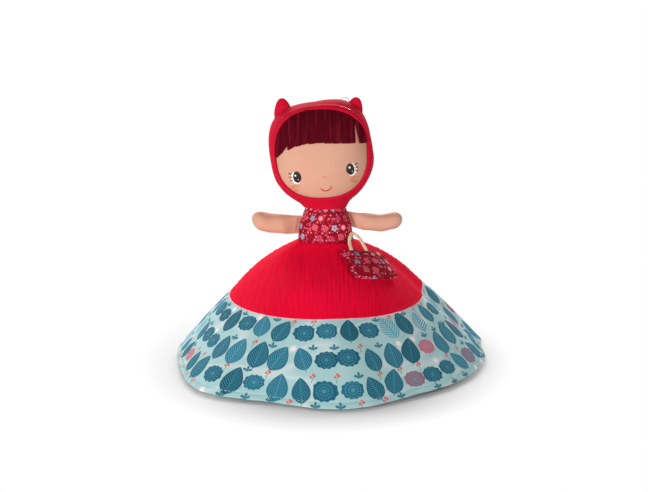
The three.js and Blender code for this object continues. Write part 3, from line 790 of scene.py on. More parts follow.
def ball_ways(slopes, sides):
    """Directions from a ball's middle in rings: sin(slope) sin(turn) across, sin(slope) cos(turn)
    forward and cos(slope) up."""
    s, a = grid(slopes, turns(sides))
    return vectors(np.sin(s) * np.sin(a), -np.sin(s) * np.cos(a), np.cos(s))


CAP_ROWS = 18
CAP_SIDES = 72


def ball_cap(name, centre, radius, cut, way):
    """A stuffed cap: the part of a ball beyond a level cut, closed flat on the cut."""
    start = math.acos(min(1.0, abs(cut - centre[2]) / radius))
    ways = ball_ways(np.linspace(start, 0.02, CAP_ROWS), CAP_SIDES) * np.array([1, 1, way])
    points = centre + ways * (radius - 0.3)
    points[0, :, 2] = cut + way * 0.1
    return closed_piece(name, points)


neck = ball_cap("neck_stuffing", NECK_PIVOT, NECK_BALL, NECK_SPLIT + CLOTH_GAP, 1)

# Arms: pinched flat at the seam, swollen along their length and round at the end

ARM_ROOT = 2.4
ARM_SWELL = 17.0
ARM_SIDES = 56


def arm_rings(length, root_half, mid_half, tip_half, sag, lift, lean):
    """Rings of a stuffed arm along +x, from just inside the seam that holds it.

    Half height runs from root to tip with the middle swollen by 1 - (2s - 1)^2; depth grows from
    the flat seam to the half height; the end is a half round; a groove runs along the outline
    where front and back are sewn."""
    tip = 1 - 0.19 * np.linspace(1, 0, 24) ** 1.8
    share = np.concatenate([steps((-0.03, 0.2, 18), (0.22, 0.8, 28)), tip])
    s, a = grid(share, turns(ARM_SIDES))
    out = s * length
    end = clamp((out - (length - tip_half)) / tip_half)
    rounding = np.sqrt(np.maximum(0.0009, 1 - end * end))
    middle = 1 - (2 * s - 1) ** 2
    half = mix(mix(root_half, tip_half, s), mid_half, middle) * rounding
    swell = ease(out / ARM_SWELL)
    depth = mix(mix(0.9, ARM_ROOT, ease(out / 3)), half, swell)
    sewn = hump(np.abs(np.sin(a)), 1.0, 0.035)
    puckers = 0.25 * np.cos(a * 9 + 1) * np.exp(-np.abs(out) / 5.0)
    lumps = vectors(out / 9, np.cos(a) * 0.9, np.sin(a) * 0.9)
    off = -0.25 - 0.28 * sewn * rounding + puckers + 0.35 * waves(lumps, 1.6, 51) * swell
    up = (half + off) * np.sin(a)
    across = out - ARM_ROOT + np.tan(lean) * up * (1 - swell)
    return vectors(across, (depth + off * ease(out / 3)) * np.cos(a), -sag * middle + lift * s**2 + up)


def arm_hinge(side, height):
    """Where an arm's seam stands off the body, and how far the body leans in there."""
    rise = 6.0
    below, at, above = body_half(BODICE_STATIONS, np.array([height - rise, height, height + rise]))[:, 0]
    lean = math.atan((above - below) / (2 * rise))
    reach = (ARM_ROOT + CLOTH_GAP) / math.cos(lean) + 0.15
    return np.array([side * (at + reach), 0, height]), lean


ARMS = {
    "left": {"side": -1, "height": 132.3, "form": (46.5, 9.6, 10.1, 9.2, 0.4, 5.4)},
    "right": {"side": 1, "height": 137.6, "form": (51.0, 8.4, 8.9, 8.5, 3.4, 0.0)},
}
arms = {}
for name, arm in ARMS.items():
    hinge, lean = arm_hinge(arm["side"], arm["height"])
    rings = arm_rings(*arm["form"], lean)
    rings[..., :2] *= arm["side"]
    arms[name] = closed_piece(f"arm_cushion_{name}", rings + hinge)

# Head and hood: a rounded square that narrows to the jaw, leaning a little to one side

HEAD_CENTRE = np.array([-3.0, 0.0, 196.8])
HEAD_TILT = math.radians(8.65)
HEAD_HALF_WIDTH = 51.0
HEAD_CROWN = 58.3
HEAD_JAW = 47.5
HEAD_FRONT = 41.0
HEAD_BACK = 44.0
CROWN_POWER = 3.265
JAW_POWER = 1.915
DEPTH_POWER = 2.2
HOOD_WALL = 2.0
SOCKET = 23.0
THROAT_RADIUS = 21.8
THROAT_TOP = 172.0
THROAT_FILLET = 7.0
LEAST_FALL = 0.2
BAND_SEAM_Y = -5.5

FACE_CENTRE = np.array([-3.9, 207.0])
FACE_HALF_WIDTH = 46.2
FACE_TOP = 43.0
FACE_BOTTOM = 44.5
FACE_POWER = 2.5
FACE_TILT = math.radians(2.3)


def flat_norm(x, z, inside):
    """The norm of a place across and up from the head's middle, in the head's own frame: of power
    3.265 above and 1.915 below, each over its own half size, drawn in by a depth."""
    x, z = turned(x, z, -HEAD_TILT)
    power = np.where(z > 0, CROWN_POWER, JAW_POWER)
    half_height = np.where(z > 0, HEAD_CROWN, HEAD_JAW) - inside
    return norm(x / (HEAD_HALF_WIDTH - inside), z / half_height, power)


def head_reach(way, inside):
    """Distance from the head's centre to its face, drawn in by a depth: one over the 2.2 norm of
    the flat norm and of y over its own half size."""
    x, y, z = np.moveaxis(way, -1, 0)
    half_depth = np.where(y < 0, HEAD_FRONT, HEAD_BACK) - inside
    return 1 / norm(flat_norm(x, z, inside), y / half_depth, DEPTH_POWER)


def from_head(way, reach):
    """Points at a distance from the head's centre along directions."""
    return HEAD_CENTRE + way * reach[..., None]


def ball_reach(way, radius, far):
    """Distance from the head's centre to the near or far side of a ball about the neck's pivot."""
    offset = HEAD_CENTRE - NECK_PIVOT
    b = way @ offset
    root = b * b - offset @ offset + radius**2
    hit = (root > 0) & (b < 0)
    root = np.sqrt(np.maximum(root, 0))
    return np.where(hit, -b + root if far else -b - root, 0.0 if far else np.inf)


def cut_level(way, reach, height):
    """Distances from the head's centre, held above a level cut along directions that fall."""
    falls = way[..., 2] < -LEAST_FALL
    cut = (height - HEAD_CENTRE[2]) / np.minimum(way[..., 2], -LEAST_FALL)
    return np.where(falls, np.minimum(reach, cut), reach)


def hood_reach(way):
    """The hood's face: the head and the throat's tube joined with a fillet, cut level at its mouth.

    How far a point is outside is the smaller of its distances outside the head and the tube, less
    f^2 / (4 k), where f = k less their difference, held above 0. Halving steps find where it is 0."""
    head = head_reach(way, 0.0)
    low = np.full(way.shape[:-1], 30.0)
    high = np.full(way.shape[:-1], 80.0)
    for _ in range(24):
        reach = (low + high) / 2
        x, y, z = np.moveaxis(from_head(way, reach), -1, 0)
        tube = np.maximum(np.hypot(x, y) - THROAT_RADIUS, z - THROAT_TOP)
        off_head = reach - head
        near = np.maximum(THROAT_FILLET - np.abs(tube - off_head), 0)
        outside = np.minimum(tube, off_head) - near**2 / (4 * THROAT_FILLET) > 0
        high = np.where(outside, reach, high)
        low = np.where(outside, low, reach)
    return cut_level(way, high, THROAT_MOUTH)


def way_of(w):
    """Directions from places on a flat map that has straight down at infinity and straight
    forward at its middle: a stereographic map, shifted by one."""
    x, y = w[..., 0], w[..., 1] - 1
    square = x * x + y * y
    return vectors(2 * x, 2 * y, 1 - square) / (1 + square)[..., None]


def map_of(way):
    """The place on that flat map of a direction."""
    return way[..., :2] / (1 + way[..., 2:]) + np.array([0, 1])


def face_outline(angle):
    """The hood's opening, across and up: a rounded oval of power 2.5, leaning 2.3 degrees."""
    c, s = np.cos(angle), np.sin(angle)
    reach = 1 / norm(c, s, FACE_POWER)
    z = s * reach * np.where(s > 0, FACE_TOP, FACE_BOTTOM)
    return FACE_CENTRE + vectors(*turned(c * reach * FACE_HALF_WIDTH, z, FACE_TILT))


def front_point(x, z, inside, out=0.0):
    """The point of the head's front over a place across and up, moved out along its normal.

    The head's norm is solved for y, and the normal comes from the slopes of y."""

    def depth(x, z):
        """The y of the head's front: minus its half depth (1 - norm^2.2)^(1 / 2.2)."""
        flat = flat_norm(x - HEAD_CENTRE[0], z - HEAD_CENTRE[2], inside)
        left = np.maximum(1 - flat**DEPTH_POWER, 1e-6)
        return -(HEAD_FRONT - inside) * left ** (1 / DEPTH_POWER)

    x, z = np.broadcast_arrays(np.asarray(x, float), np.asarray(z, float))
    step = 0.4
    slope_x = (depth(x + step, z) - depth(x - step, z)) / (2 * step)
    slope_z = (depth(x, z + step) - depth(x, z - step)) / (2 * step)
    normal = unit(vectors(slope_x, -1.0, slope_z))
    return vectors(x, depth(x, z), z) + normal * np.asarray(out, float)[..., None]


# Head: stuffed jersey with a dent below for the neck

HEAD_ROWS = 120
HEAD_SIDES = 160
SKIN_INSIDE = 2.4
lean, turn = grid(np.linspace(0.004, 0.996, HEAD_ROWS) * np.pi, turns(HEAD_SIDES))
way = vectors(np.sin(lean) * np.cos(turn), -np.cos(lean), np.sin(lean) * np.sin(turn))
reach = head_reach(way, SKIN_INSIDE) + 0.12 * waves(way * 3, 2.2, 61) - 0.1
reach = np.minimum(reach, ball_reach(way, SOCKET + 0.1, False))
head = closed_piece("head_cushion", from_head(way, reach))

# Hood: from the opening's rim round the head to the throat's mouth, along the map's rays

HOOD_SIDES = 240
HOOD_ROWS = 92
OUTLINE_PLACES = 720
RIM_ROWS = 7
RIM_ROLL = 0.016
THROAT_TUCK = 0.03
THROAT_TUCK_HEIGHT = 4.5
ray = turns(HOOD_SIDES)
angle = turns(OUTLINE_PLACES)
mouth_ring = math.sqrt(SOCKET**2 - (THROAT_MOUTH - NECK_PIVOT[2]) ** 2)
mouth = vectors(mouth_ring * np.cos(angle), mouth_ring * np.sin(angle), THROAT_MOUTH)


def map_ring(points):
    """The logarithm of a closed line's distance on the map, along each ray."""
    places = map_of(unit(points - HEAD_CENTRE))
    around = np.arctan2(places[:, 1], places[:, 0]) % FULL_TURN
    order = np.argsort(around)
    return np.interp(ray, around[order], np.log(np.hypot(*places.T))[order], period=FULL_TURN)


def ray_ways(line):
    """Directions along every ray of the map, at a distance whose logarithm is given."""
    return way_of(np.exp(line)[..., None] * circle(ray))


def hood_inside(way):
    """Distance to the hood's inner face: the head's space, or the ball of the neck beyond it,
    cut level at the mouth."""
    deep = np.maximum(head_reach(way, HOOD_WALL), ball_reach(way, SOCKET, True))
    return cut_level(way, deep, THROAT_MOUTH + 0.1)


def tucked(points):
    """The throat drawn in a little towards its mouth."""
    above = points[..., 2:] - THROAT_MOUTH
    tuck = THROAT_TUCK * ease(1 - above / THROAT_TUCK_HEIGHT)
    return points * (1 - tuck * np.array([1, 1, 0]))


rim_line = map_ring(front_point(*face_outline(angle).T, 0.0))
mouth_line = map_ring(mouth)
rows = np.linspace(0, 1, HOOD_ROWS)
share = np.concatenate([[0.0, 0.004, 0.009, 0.015, 0.022], rows[2:-2], [0.983, 0.991, 0.996]])[:, None]
way = ray_ways(mix(rim_line, mouth_line, share))
at = from_head(way, hood_reach(way))
rim_fold = 0.35 * hump(share, 0.012, 0.012) - 0.3 * hump(share, 0.034, 0.008)
groove = -0.2 * hump(at[..., 1], BAND_SEAM_Y, 0.7) * ease((at[..., 2] - 168) / 12)
soft = 0.16 * waves(way * 4, 2.4, 71) + 0.1 * waves(at / 12, 1.3, 72)
fades = ease(share / 0.05) * ease((1 - share) / 0.06)
outer = tucked(at + way * (-0.35 * fades + rim_fold + groove + soft * fades)[..., None])
inner = tucked(from_head(way, hood_inside(way)))
inner[-1] = outer[-1]

rim = []
for bend in np.linspace(0, np.pi, RIM_ROWS + 2)[1:-1]:
    depth = mix(hood_reach(way[0]) + rim_fold[0], hood_inside(way[0]), (1 - math.cos(bend)) / 2)
    rim.append(from_head(ray_ways(rim_line - RIM_ROLL * math.sin(bend)), depth))
hood = shell_piece("hood_cloth", outer, np.array(rim), inner)

# Ears: flat cushions behind the front band, rounded triangles with a sewn edge

EARS = {
    "left": ((-41.3, 0.0, 244.0), 7.0),
    "right": ((27.5, 0.0, 245.2), -14.0),
}
EAR_SEWN_IN = 1.0
EAR_ROWS = 44
EAR_SIDES = 48


def ear_rings(place, half, lean, clear):
    """A stuffed ear: half width = half (1.15 - 0.45 share of its height) round a ball's outline,
    its depth pinched to a sewn edge by powers of the sine round it, leaned, then pressed out of
    the head."""
    s, a = grid(np.linspace(0.02, 0.98, EAR_ROWS) * np.pi, turns(EAR_SIDES))
    up = np.cos(s)
    width = np.sin(s) ** 0.85 * half[0] * (1.15 - 0.45 * (up + 1) / 2)
    depth = half[1] * np.sin(s) ** 0.7 * signed_power(np.sin(a), 0.75)
    x, z = turned(width * np.cos(a), half[2] * up, math.radians(lean))
    return clear(vectors(x, depth, z) + np.array(place))


def clear_of_hood(points):
    """Points moved out from the head's middle until they are sewn into the hood."""
    away = np.linalg.norm(points - HEAD_CENTRE, axis=-1)
    way = unit(points - HEAD_CENTRE)
    return from_head(way, np.maximum(away, hood_reach(way) - EAR_SEWN_IN))


ears = {
    name: closed_piece(f"ear_cushion_{name}", ear_rings(place, (9.6, 4.4, 13.4), lean, clear_of_hood))
    for name, (place, lean) in EARS.items()
}

# Fringe: velour locks that hang from under the rim, parted by slits

LOCK_EDGES = (-46.8, -42.5, -36.0, -28.5, -22.5, -16.0, -9.0, -1.5, 6.5, 14.5, 27.0, 38.8)
# Where a lock's sides end at its tip, in from its edges, and how far up its slits run
LOCK_TIPS = {8: (0.1, 0.45, 14, 17), 9: (0.45, -1.2, 17, 21), 10: (4.9, 0.2, 21, 10)}
# The fringe's lower edge, across and up
FRINGE_ACROSS = (-47.3, -43.5, -41.0, -30.0, -19.7, -2.4, 16.5, 27.4, 39.2)
FRINGE_HEIGHT = (202.9, 204.6, 209.4, 213.2, 216.3, 217.9, 216.7, 217.0, 215.4)
LOCK_ROWS = 46
LOCK_SIDES = 24
HAIR_THICK = 1.5


def fringe_top(x):
    """Height of the opening's top edge over a place across."""
    across, height = face_outline(np.linspace(0.02, np.pi - 0.02, 200)).T
    order = np.argsort(across)
    return np.interp(x, across[order], height[order])


def lock_rings(number):
    """A lock: flat rings down the forehead with a domed face. A slit opens on each side towards
    the tip, as the clamped share of its height to a power; the tip rounds off."""
    draw = np.random.default_rng(80 + number)
    left, right = LOCK_EDGES[number : number + 2]
    middle, half = (left + right) / 2, (right - left) / 2
    given = LOCK_TIPS.get(number, (0.1, 0.1, draw.uniform(8, 18), draw.uniform(8, 18)))
    top = fringe_top(middle) + 0.6
    low = np.interp(middle, FRINGE_ACROSS, FRINGE_HEIGHT) + draw.uniform(-0.35, 0.35)
    tip = 1 - 0.1 * np.linspace(0.9, 0, 10) ** 1.7
    s, a = grid(np.concatenate([np.linspace(0, 0.9, LOCK_ROWS - 10), tip]), turns(LOCK_SIDES))
    slant = np.interp(middle, FRINGE_ACROSS, np.gradient(FRINGE_HEIGHT, FRINGE_ACROSS))
    across = signed_power(np.cos(a), 0.55)
    height = mix(top, low, s)
    from_tip = height - low
    tip_in = np.where(across < 0, given[0], given[1])
    slit = np.where(across < 0, given[2], given[3])
    narrow = tip_in * clamp(1 - from_tip / slit) ** 0.9
    round_tip = np.sqrt(np.maximum(1 - clamp(1 - from_tip / 1.2) ** 2, 0.02))
    x = middle + across * (half - narrow) * mix(0.9, 1.0, round_tip)
    height = height + slant * (x - middle) * ease(1 - from_tip / 12)
    ceiling = fringe_top(x) + 0.5
    height = np.minimum(height, ceiling)
    to_rim = ease((ceiling - height) / 4.5)
    ridges = 0.14 * np.cos(x * 2.2 + number) + 0.1 * np.cos(x * 4.7 + 2 * number)
    thick = mix(0.28, HAIR_THICK * draw.uniform(0.85, 1.15), to_rim) * round_tip
    dome = 0.5 + 0.5 * signed_power(np.sin(a), 0.5)
    return front_point(x, height, SKIN_INSIDE, 0.3 + thick * dome + ridges * (np.sin(a) > 0.3) * to_rim)


fringe = closed_bodies("fringe_locks", [lock_rings(number) for number in range(len(LOCK_EDGES) - 1)])

# Bag: a flat pouch that lies on the skirt, on a woven cord from the side seam

BAG_HALF_WIDTH = 28.0
BAG_HALF_HEIGHT = 18.6
BAG_THICK = 7.0
BAG_EDGE = 2.6
BAG_TURN = 48.9
BAG_ALONG = 0.468
BAG_LEAN = math.radians(11.4)
BAG_LIFT = 0.6
BAG_POWER = 6.0
BAG_MOVED = (-1.0, -4.3)
BAG_ROWS = 34
BAG_EDGE_ROWS = 12
BAG_SIDES = 144


def bag_points(across, down, height):
    """A place across and down the bag and above the skirt, turned by the bag's lean and laid
    round the skirt's slope."""
    across, down = turned(across, down, BAG_LEAN)
    along = BAG_ALONG + down / UPPER_LENGTH
    around = across / skirt_outline(along)[..., 0]
    return skirt_points(along, BAG_TURN + np.degrees(around), height)


s, a = grid(steps((0.04, 0.9, BAG_ROWS - BAG_EDGE_ROWS), (0.915, 1.0, BAG_EDGE_ROWS)), turns(BAG_SIDES))
hollow = 1 - 0.035 * np.cos(a * 2) ** 2 - 0.02 * waves(circle(a), 0.8, 91)
reach = s * hollow / norm(np.cos(a), np.sin(a), BAG_POWER)
down = reach * np.sin(a) * BAG_HALF_HEIGHT
across = reach * np.cos(a) * BAG_HALF_WIDTH * (1 + 0.05 * down / BAG_HALF_HEIGHT)
across, down = across + BAG_MOVED[0], down + BAG_MOVED[1]
place_on_bag = vectors(across, down)
swell = np.maximum(1 - s**2.6, 0) ** 0.55
folds = 0.55 * waves(place_on_bag, 13, 92) + 0.3 * waves(place_on_bag, 5.5, 93)
edge = 0.35 * hump(s, 0.985, 0.012) - 0.55 * hump(s, 0.94, 0.018)
seam_height = BAG_LIFT + BAG_EDGE
front = bag_points(across, down, seam_height + (BAG_THICK - BAG_EDGE + folds) * swell + edge)
back = bag_points(across, down, seam_height - (BAG_EDGE - 0.4) * swell)[::-1]
bag_flat = np.concatenate([place_on_bag, place_on_bag[::-1][1:] + np.array([0, 60])])
bag = closed_piece("bag_pouch", np.concatenate([front, back[1:]]), bag_flat)

# Cord of the bag: a flat woven tape along the same route as its solid
CORD_HALF = 1.35
CORD_HALF_THICK = 0.8 * CORD_HALF
CORD_SHAPE = 1.7
CORD_ROWS = 96
CORD_SIDES = 20
CORD_SEWN_AT = (-16.5, 2.5)
CORD_SEWN_DOWN = -16.8 - CORD_HALF
cord_ends = bag_points(np.array(CORD_SEWN_AT), np.full(2, CORD_SEWN_DOWN), np.full(2, BAG_LIFT + 3.5))
cord_route = [
    cord_ends[0],
    (23.6, -20.0, 118.6),
    (24.3, -15.5, 122.6),
    (26.88, -9.0, 125.2),
    (32.5, -10.4, 121.6),
    (36.4, -15.2, 116.8),
    cord_ends[1],
]
cord_path = smooth_path(cord_route, CORD_ROWS)
# Both ends run on into the bag by two short steps
cord_start = [cord_path[0] + (cord_path[0] - cord_path[1]) * t for t in (1.6, 0.8)]
cord_end = [cord_path[-1] + (cord_path[-1] - cord_path[-2]) * t for t in (0.8, 1.6)]
cord_path = np.concatenate([cord_start, cord_path, cord_end])
cord_rings = tube_points(cord_path, CORD_HALF_THICK, CORD_SIDES, CORD_SHAPE, guide=(1.0, 0.35, -0.2))
run = np.concatenate([[0], np.cumsum(np.linalg.norm(np.diff(cord_path, axis=0), axis=1))])
cord_round = np.arange(CORD_SIDES + 1) / CORD_SIDES * 7.5
bag_cord = closed_piece("bag_tape", cord_rings, vectors(*grid(run, cord_round)))

# Loop of thread on the crown, to hang the doll by
LOOP_CENTRE = np.array([18.5, -6.0, 256.1])
LOOP_HALF_WIDTH = 4.1
LOOP_HALF_HEIGHT = 2.3
LOOP_ROWS = 64
LOOP_TWISTS = 9
turn = np.radians(np.linspace(-152, 152, LOOP_ROWS))
loop_path = vectors(LOOP_HALF_WIDTH * np.sin(turn), 0.5 * np.sin(turn * 2), LOOP_HALF_HEIGHT * np.cos(turn))
strands = []
for strand in range(2):
    twist = np.linspace(0, LOOP_TWISTS * FULL_TURN, LOOP_ROWS) + strand * np.pi
    off = 0.17 * vectors(np.cos(twist) * np.sin(turn), np.sin(twist), np.cos(twist) * np.cos(turn))
    strands.append(tube_points(LOOP_CENTRE + loop_path + off, 0.2, 8))
thread_loop = closed_bodies("thread_loop", strands)

# Embroidered face: raised patches and cords of stitches on the head's front

EYE_ACROSS = 26.0
EYE_DOWN = 8.4
EYE_HALF = (4.2, 5.9)
EYE_LEAN = 0.05
CHEEK_ACROSS = 29.0
CHEEK_DOWN = 19.5
# An oval of stitches, from its middle to its edge and back below: share of its size, and height
PATCH_SHARES = (0.06, 0.3, 0.5, 0.68, 0.82, 0.92, 0.98, 1.0, 1.0, 0.6, 0.1)
PATCH_HEIGHTS = (1, 0.99, 0.94, 0.8, 0.6, 0.4, 0.2, 0.05, -0.5, -0.5, -0.5)


def on_face(x, z):
    """Places across and up from the head's middle, turned by its tilt."""
    x, z = turned(x, z, HEAD_TILT)
    return HEAD_CENTRE[0] + x, HEAD_CENTRE[2] + z


def patch_rings(x, z, half_x, half_z, thick, lean=0.0):
    """An oval of stitches about a place: rings at PATCH_SHARES of its half sizes, standing off the
    head by PATCH_HEIGHTS times thick, its edge and back sunk."""
    s, a = grid(PATCH_SHARES, turns(44))
    height, _ = grid(PATCH_HEIGHTS, turns(44))
    across, up = turned(s * half_x * np.cos(a), s * half_z * np.sin(a), lean)
    return front_point(*on_face(x + across, z + up), SKIN_INSIDE, height * thick)


def stroke_rings(points, radius, count=26, off=0.15):
    """A line of satin stitch: a flattened tube along a smooth line, thinner towards its ends."""
    path = front_point(*on_face(*smooth_path(points, count).T), SKIN_INSIDE, np.full(count, off))
    s = np.linspace(-1, 1, count)
    return tube_points(path, radius * np.sqrt(np.maximum(1 - np.abs(s) ** 3, 0.03)), 12, guide=(0, -1, 0))


eyes, eye_whites, glints, lashes, cheeks = [], [], [], [], []
for side in (-1, 1):
    x, z = side * EYE_ACROSS, -EYE_DOWN
    half_x, half_z = EYE_HALF
    lean = side * EYE_LEAN
    eyes.append(patch_rings(x, z, half_x, half_z, 0.62, lean))
    eye_whites.append(patch_rings(x + side * 0.9, z - 0.5, half_x + 0.7, half_z + 0.4, 0.4, lean))
    glints.append(patch_rings(x - 0.9, z + 2.0, 1.15, 1.35, 0.95))
    glints.append(patch_rings(x + 1.2, z - 2.2, 0.5, 0.6, 0.85))
    for number, rise in enumerate((3.4, 0.6, -2.2)):
        start = np.array([x + side * (half_x - 0.2), z + rise])
        end = np.array([x + side * (half_x + 3.5 - 0.3 * number), z + rise + 1.4 - 0.9 * number])
        lashes.append(stroke_rings([start, (start + end) / 2 - (0, 0.25), end], 0.48, 14))
    for ring in range(2):
        angle = np.linspace(0.4 * ring, 0.4 * ring + 5.6, 30)
        line = circle(angle) * (4.6 - 2.2 * ring) * (1, 0.66) + (side * CHEEK_ACROSS, -CHEEK_DOWN)
        cheeks.append(stroke_rings(line, 0.42, 40, 0.05))
eye_patches = closed_bodies("eye_patches", eyes)
eye_edges = closed_bodies("eye_edges", eye_whites)
eye_glints = closed_bodies("eye_glints", glints)
lash_stitches = closed_bodies("lash_stitches", lashes)
cheek_stitches = closed_bodies("cheek_stitches", cheeks)
smile = stroke_rings([(-5.4, -21.4), (-3.4, -24.2), (0.2, -25.4), (3.8, -24.0), (5.6, -21.0)], 0.62, 34)
nose = stroke_rings([(-2.0, -12.2), (-0.6, -10.9), (1.3, -11.6), (1.6, -13.8)], 0.5, 22, 0.05)
mouth_stitches = closed_piece("mouth_stitches", smile)
nose_stitches = closed_piece("nose_stitches", nose)

# Reverse half: a plain soft animal, upside down inside the skirt

REVERSE_PIVOT = np.array([0.0, 0.0, 98.0])
REVERSE_NECK = 19.0
REVERSE_SPLIT = 88.5
REVERSE_HEAD = np.array([0.0, 0.0, 47.0])
REVERSE_HEAD_HALF = np.array([44.0, 37.0, 38.0])
MUZZLE = np.array([0.0, -31.0, 39.0])
MUZZLE_HALF = np.array([17.0, 14.0, 12.0])
REVERSE_NOSE = np.array([0.0, -43.5, 35.0])
REVERSE_NOSE_HALF = np.array([5.0, 4.6, 4.2])
REVERSE_EYE_HALF = np.array([3.0, 1.4, 3.6])
REVERSE_ARM_SLOPE = math.radians(46)
REVERSE_ARM_AT = (31.69, 0, 103.0)
BODY_SIDES = 96
DENT_RADIUS = 18.5

# Heights, half widths and half depths of its body
REVERSE_STATIONS = np.array(
    [
        (88.6, 92.5, 97.5, 102.7, 108.0, 111.7, 114.6, 116.2, 117.3),
        (16.2, 18.0, 20.2, 21.6, 22.9, 23.1, 23.6, 25.0, 26.2),
        (16.2, 18.0, 18.6, 19.0, 18.1, 17.4, 17.8, 18.9, 19.7),
    ]
)


def ball_rings(centre, half, rows, sides, off=0.0, seed=0, length=14.0):
    """An ellipsoid of half sizes about a centre, standing off by an amount, with soft lumps."""
    way = ball_ways(np.linspace(0.006, 0.994, rows) * np.pi, sides)
    lumps = 0.3 * waves(way * half, length, seed)[..., None] if seed else 0.0
    return centre + way * half + unit(way / half) * (off + lumps)


def clear_of_ball(points, centre, half):
    """Points moved out from an ellipsoid's centre until they stand off it by the cloth's gap."""
    from_centre = points - centre
    size = np.linalg.norm(from_centre / (half + CLOTH_GAP), axis=-1, keepdims=True)
    return centre + from_centre / np.minimum(size, 1.0)


def clear_of_reverse_head(points):
    """Points moved out of the second half's head."""
    return clear_of_ball(points, REVERSE_HEAD, REVERSE_HEAD_HALF)


z, turn = grid(np.linspace(88.6, 117.3, 34), turns(BODY_SIDES))
off = -0.35 + 0.3 * waves(vectors(np.sin(turn) * 3, np.cos(turn) * 3, z / 8), 2.5, 101)
reverse_bodice = closed_piece("reverse_body", body_points(REVERSE_STATIONS, turn, z, off))
reverse_neck = ball_cap("reverse_neck_stuffing", REVERSE_PIVOT, REVERSE_NECK, REVERSE_SPLIT - CLOTH_GAP, -1)

head_points = ball_rings(REVERSE_HEAD, REVERSE_HEAD_HALF, 80, 120, -0.3, 102)
x, y, z = np.moveaxis(head_points, -1, 0)
seam_line = -0.5 * hump(x, 0, 0.9) * (y > -20)
head_points = head_points + unit(head_points - REVERSE_HEAD) * seam_line[..., None]
x, y, z = np.moveaxis(head_points - REVERSE_PIVOT, -1, 0)
near_neck = np.linalg.norm(head_points - REVERSE_PIVOT, axis=-1) < REVERSE_NECK + CLOTH_GAP + 0.1
dent = near_neck & (np.hypot(x, y) < DENT_RADIUS)
dent_depth = -np.sqrt(np.maximum((REVERSE_NECK + 0.4) ** 2 - x**2 - y**2, 0))
head_points[..., 2] = np.where(dent, np.minimum(z, dent_depth), z) + REVERSE_PIVOT[2]
reverse_head = closed_piece("reverse_head_cushion", head_points)

muzzle_points = ball_rings(MUZZLE, MUZZLE_HALF, 44, 72, -0.2, 103, 9)
x, _, z = np.moveaxis(muzzle_points, -1, 0)
muzzle_points[..., 2] += 0.8 * hump(x, 0, 1.1) * (z < MUZZLE[2])
reverse_muzzle = closed_piece("reverse_muzzle_cushion", clear_of_reverse_head(muzzle_points))
nose_points = ball_rings(REVERSE_NOSE, REVERSE_NOSE_HALF, 26, 44, -0.1, 104, 6)
nose_points = clear_of_reverse_head(clear_of_ball(nose_points, MUZZLE, MUZZLE_HALF))
reverse_nose = closed_piece("reverse_nose_pad", nose_points)

reverse_ears, reverse_arms, reverse_eyes = {}, {}, []
for name, side in (("left", -1), ("right", 1)):
    rings = ear_rings((side * 29.0, 2.0, 17.0), (9.8, 3.8, 12.8), 180 + side * 22, clear_of_reverse_head)
    reverse_ears[name] = closed_piece(f"reverse_ear_cushion_{name}", rings)
    x, y, z = np.moveaxis(arm_rings(40.0, 7.0, 8.4, 8.0, 0.0, 0.0, 0.0), -1, 0)
    x, z = turned(x, z, -REVERSE_ARM_SLOPE)
    rings = vectors(x + REVERSE_ARM_AT[0], y, z + REVERSE_ARM_AT[2]) * (side, side, 1)
    reverse_arms[name] = closed_piece(f"reverse_arm_cushion_{name}", rings)
    eye = np.array([side * 15.0, 0.0, 51.0])
    inside = 1 - (((eye - REVERSE_HEAD) / REVERSE_HEAD_HALF) ** 2).sum()
    eye[1] = 0.4 - REVERSE_HEAD_HALF[1] * math.sqrt(inside)
    reverse_eyes.append(ball_rings(eye, REVERSE_EYE_HALF, 16, 28))
reverse_eyes = closed_bodies("reverse_eye_patches", reverse_eyes)

# Cloths


def cloth(name, sheen, tint, rough=0.85, gloss=0.1):
    """A finish for cloth: rough, with a sheen of its own tint and little gloss."""
    constants = {"Roughness": rough, "Specular IOR Level": gloss}
    constants |= {"Sheen Weight": sheen, "Sheen Roughness": 0.45, "Sheen Tint": tint}
    return Finish(name, constants)


def jersey(name, colour, shade, sheen=0.1, tint="ffffff", knit=1500.0):
    """Knitted cloth: fine columns of noise for its loops, and soft patches of shade."""
    finish = cloth(name, sheen, tint)
    place = finish.own_place()
    x, y, z = finish.parts(place)
    loops = finish.noise(finish.join(x, y, z * 0.4), knit, 1.0)
    patches = finish.noise(place, 26)
    finish.paint(finish.colour(colour, shade, loops * 0.35 + patches * 0.55 - 0.2))
    finish.emboss(loops, 0.00016, 0.7)
    return finish


def pile(name, colour, shade, light, tint):
    """Short plush: tufts of noise, brushed lighter in streaks."""
    finish = cloth(name, 0.25, tint, 0.95)
    place = finish.own_place()
    tufts = finish.noise(place, 420, 3.0, 0.65)
    brushed = finish.noise(place, 40)
    finish.paint(finish.colour(colour, shade, tufts * 1.1 - 0.15))
    finish.lay(light, finish.below(0.62 - brushed, 0.0, 0.12) * 0.4)
    finish.emboss(tufts, 0.0006, 0.9)
    return finish


THREAD_ROW = 0.0005


def stitched(name, colour, shade, turn=0.0, sheen=0.1):
    """Embroidery: rows of satin thread that run at a turn, each a sine of the place across."""
    finish = cloth(name, sheen, "ffffff", 0.55, 0.3)
    x, _, z = finish.parts(finish.own_place())
    across = x * math.cos(turn) + z * math.sin(turn)
    rows = finish.sine(across * (FULL_TURN / THREAD_ROW)) * 0.5 + 0.5
    finish.paint(finish.colour(colour, shade, rows * 0.6))
    finish.emboss(rows, 0.00012, 0.8)
    return finish


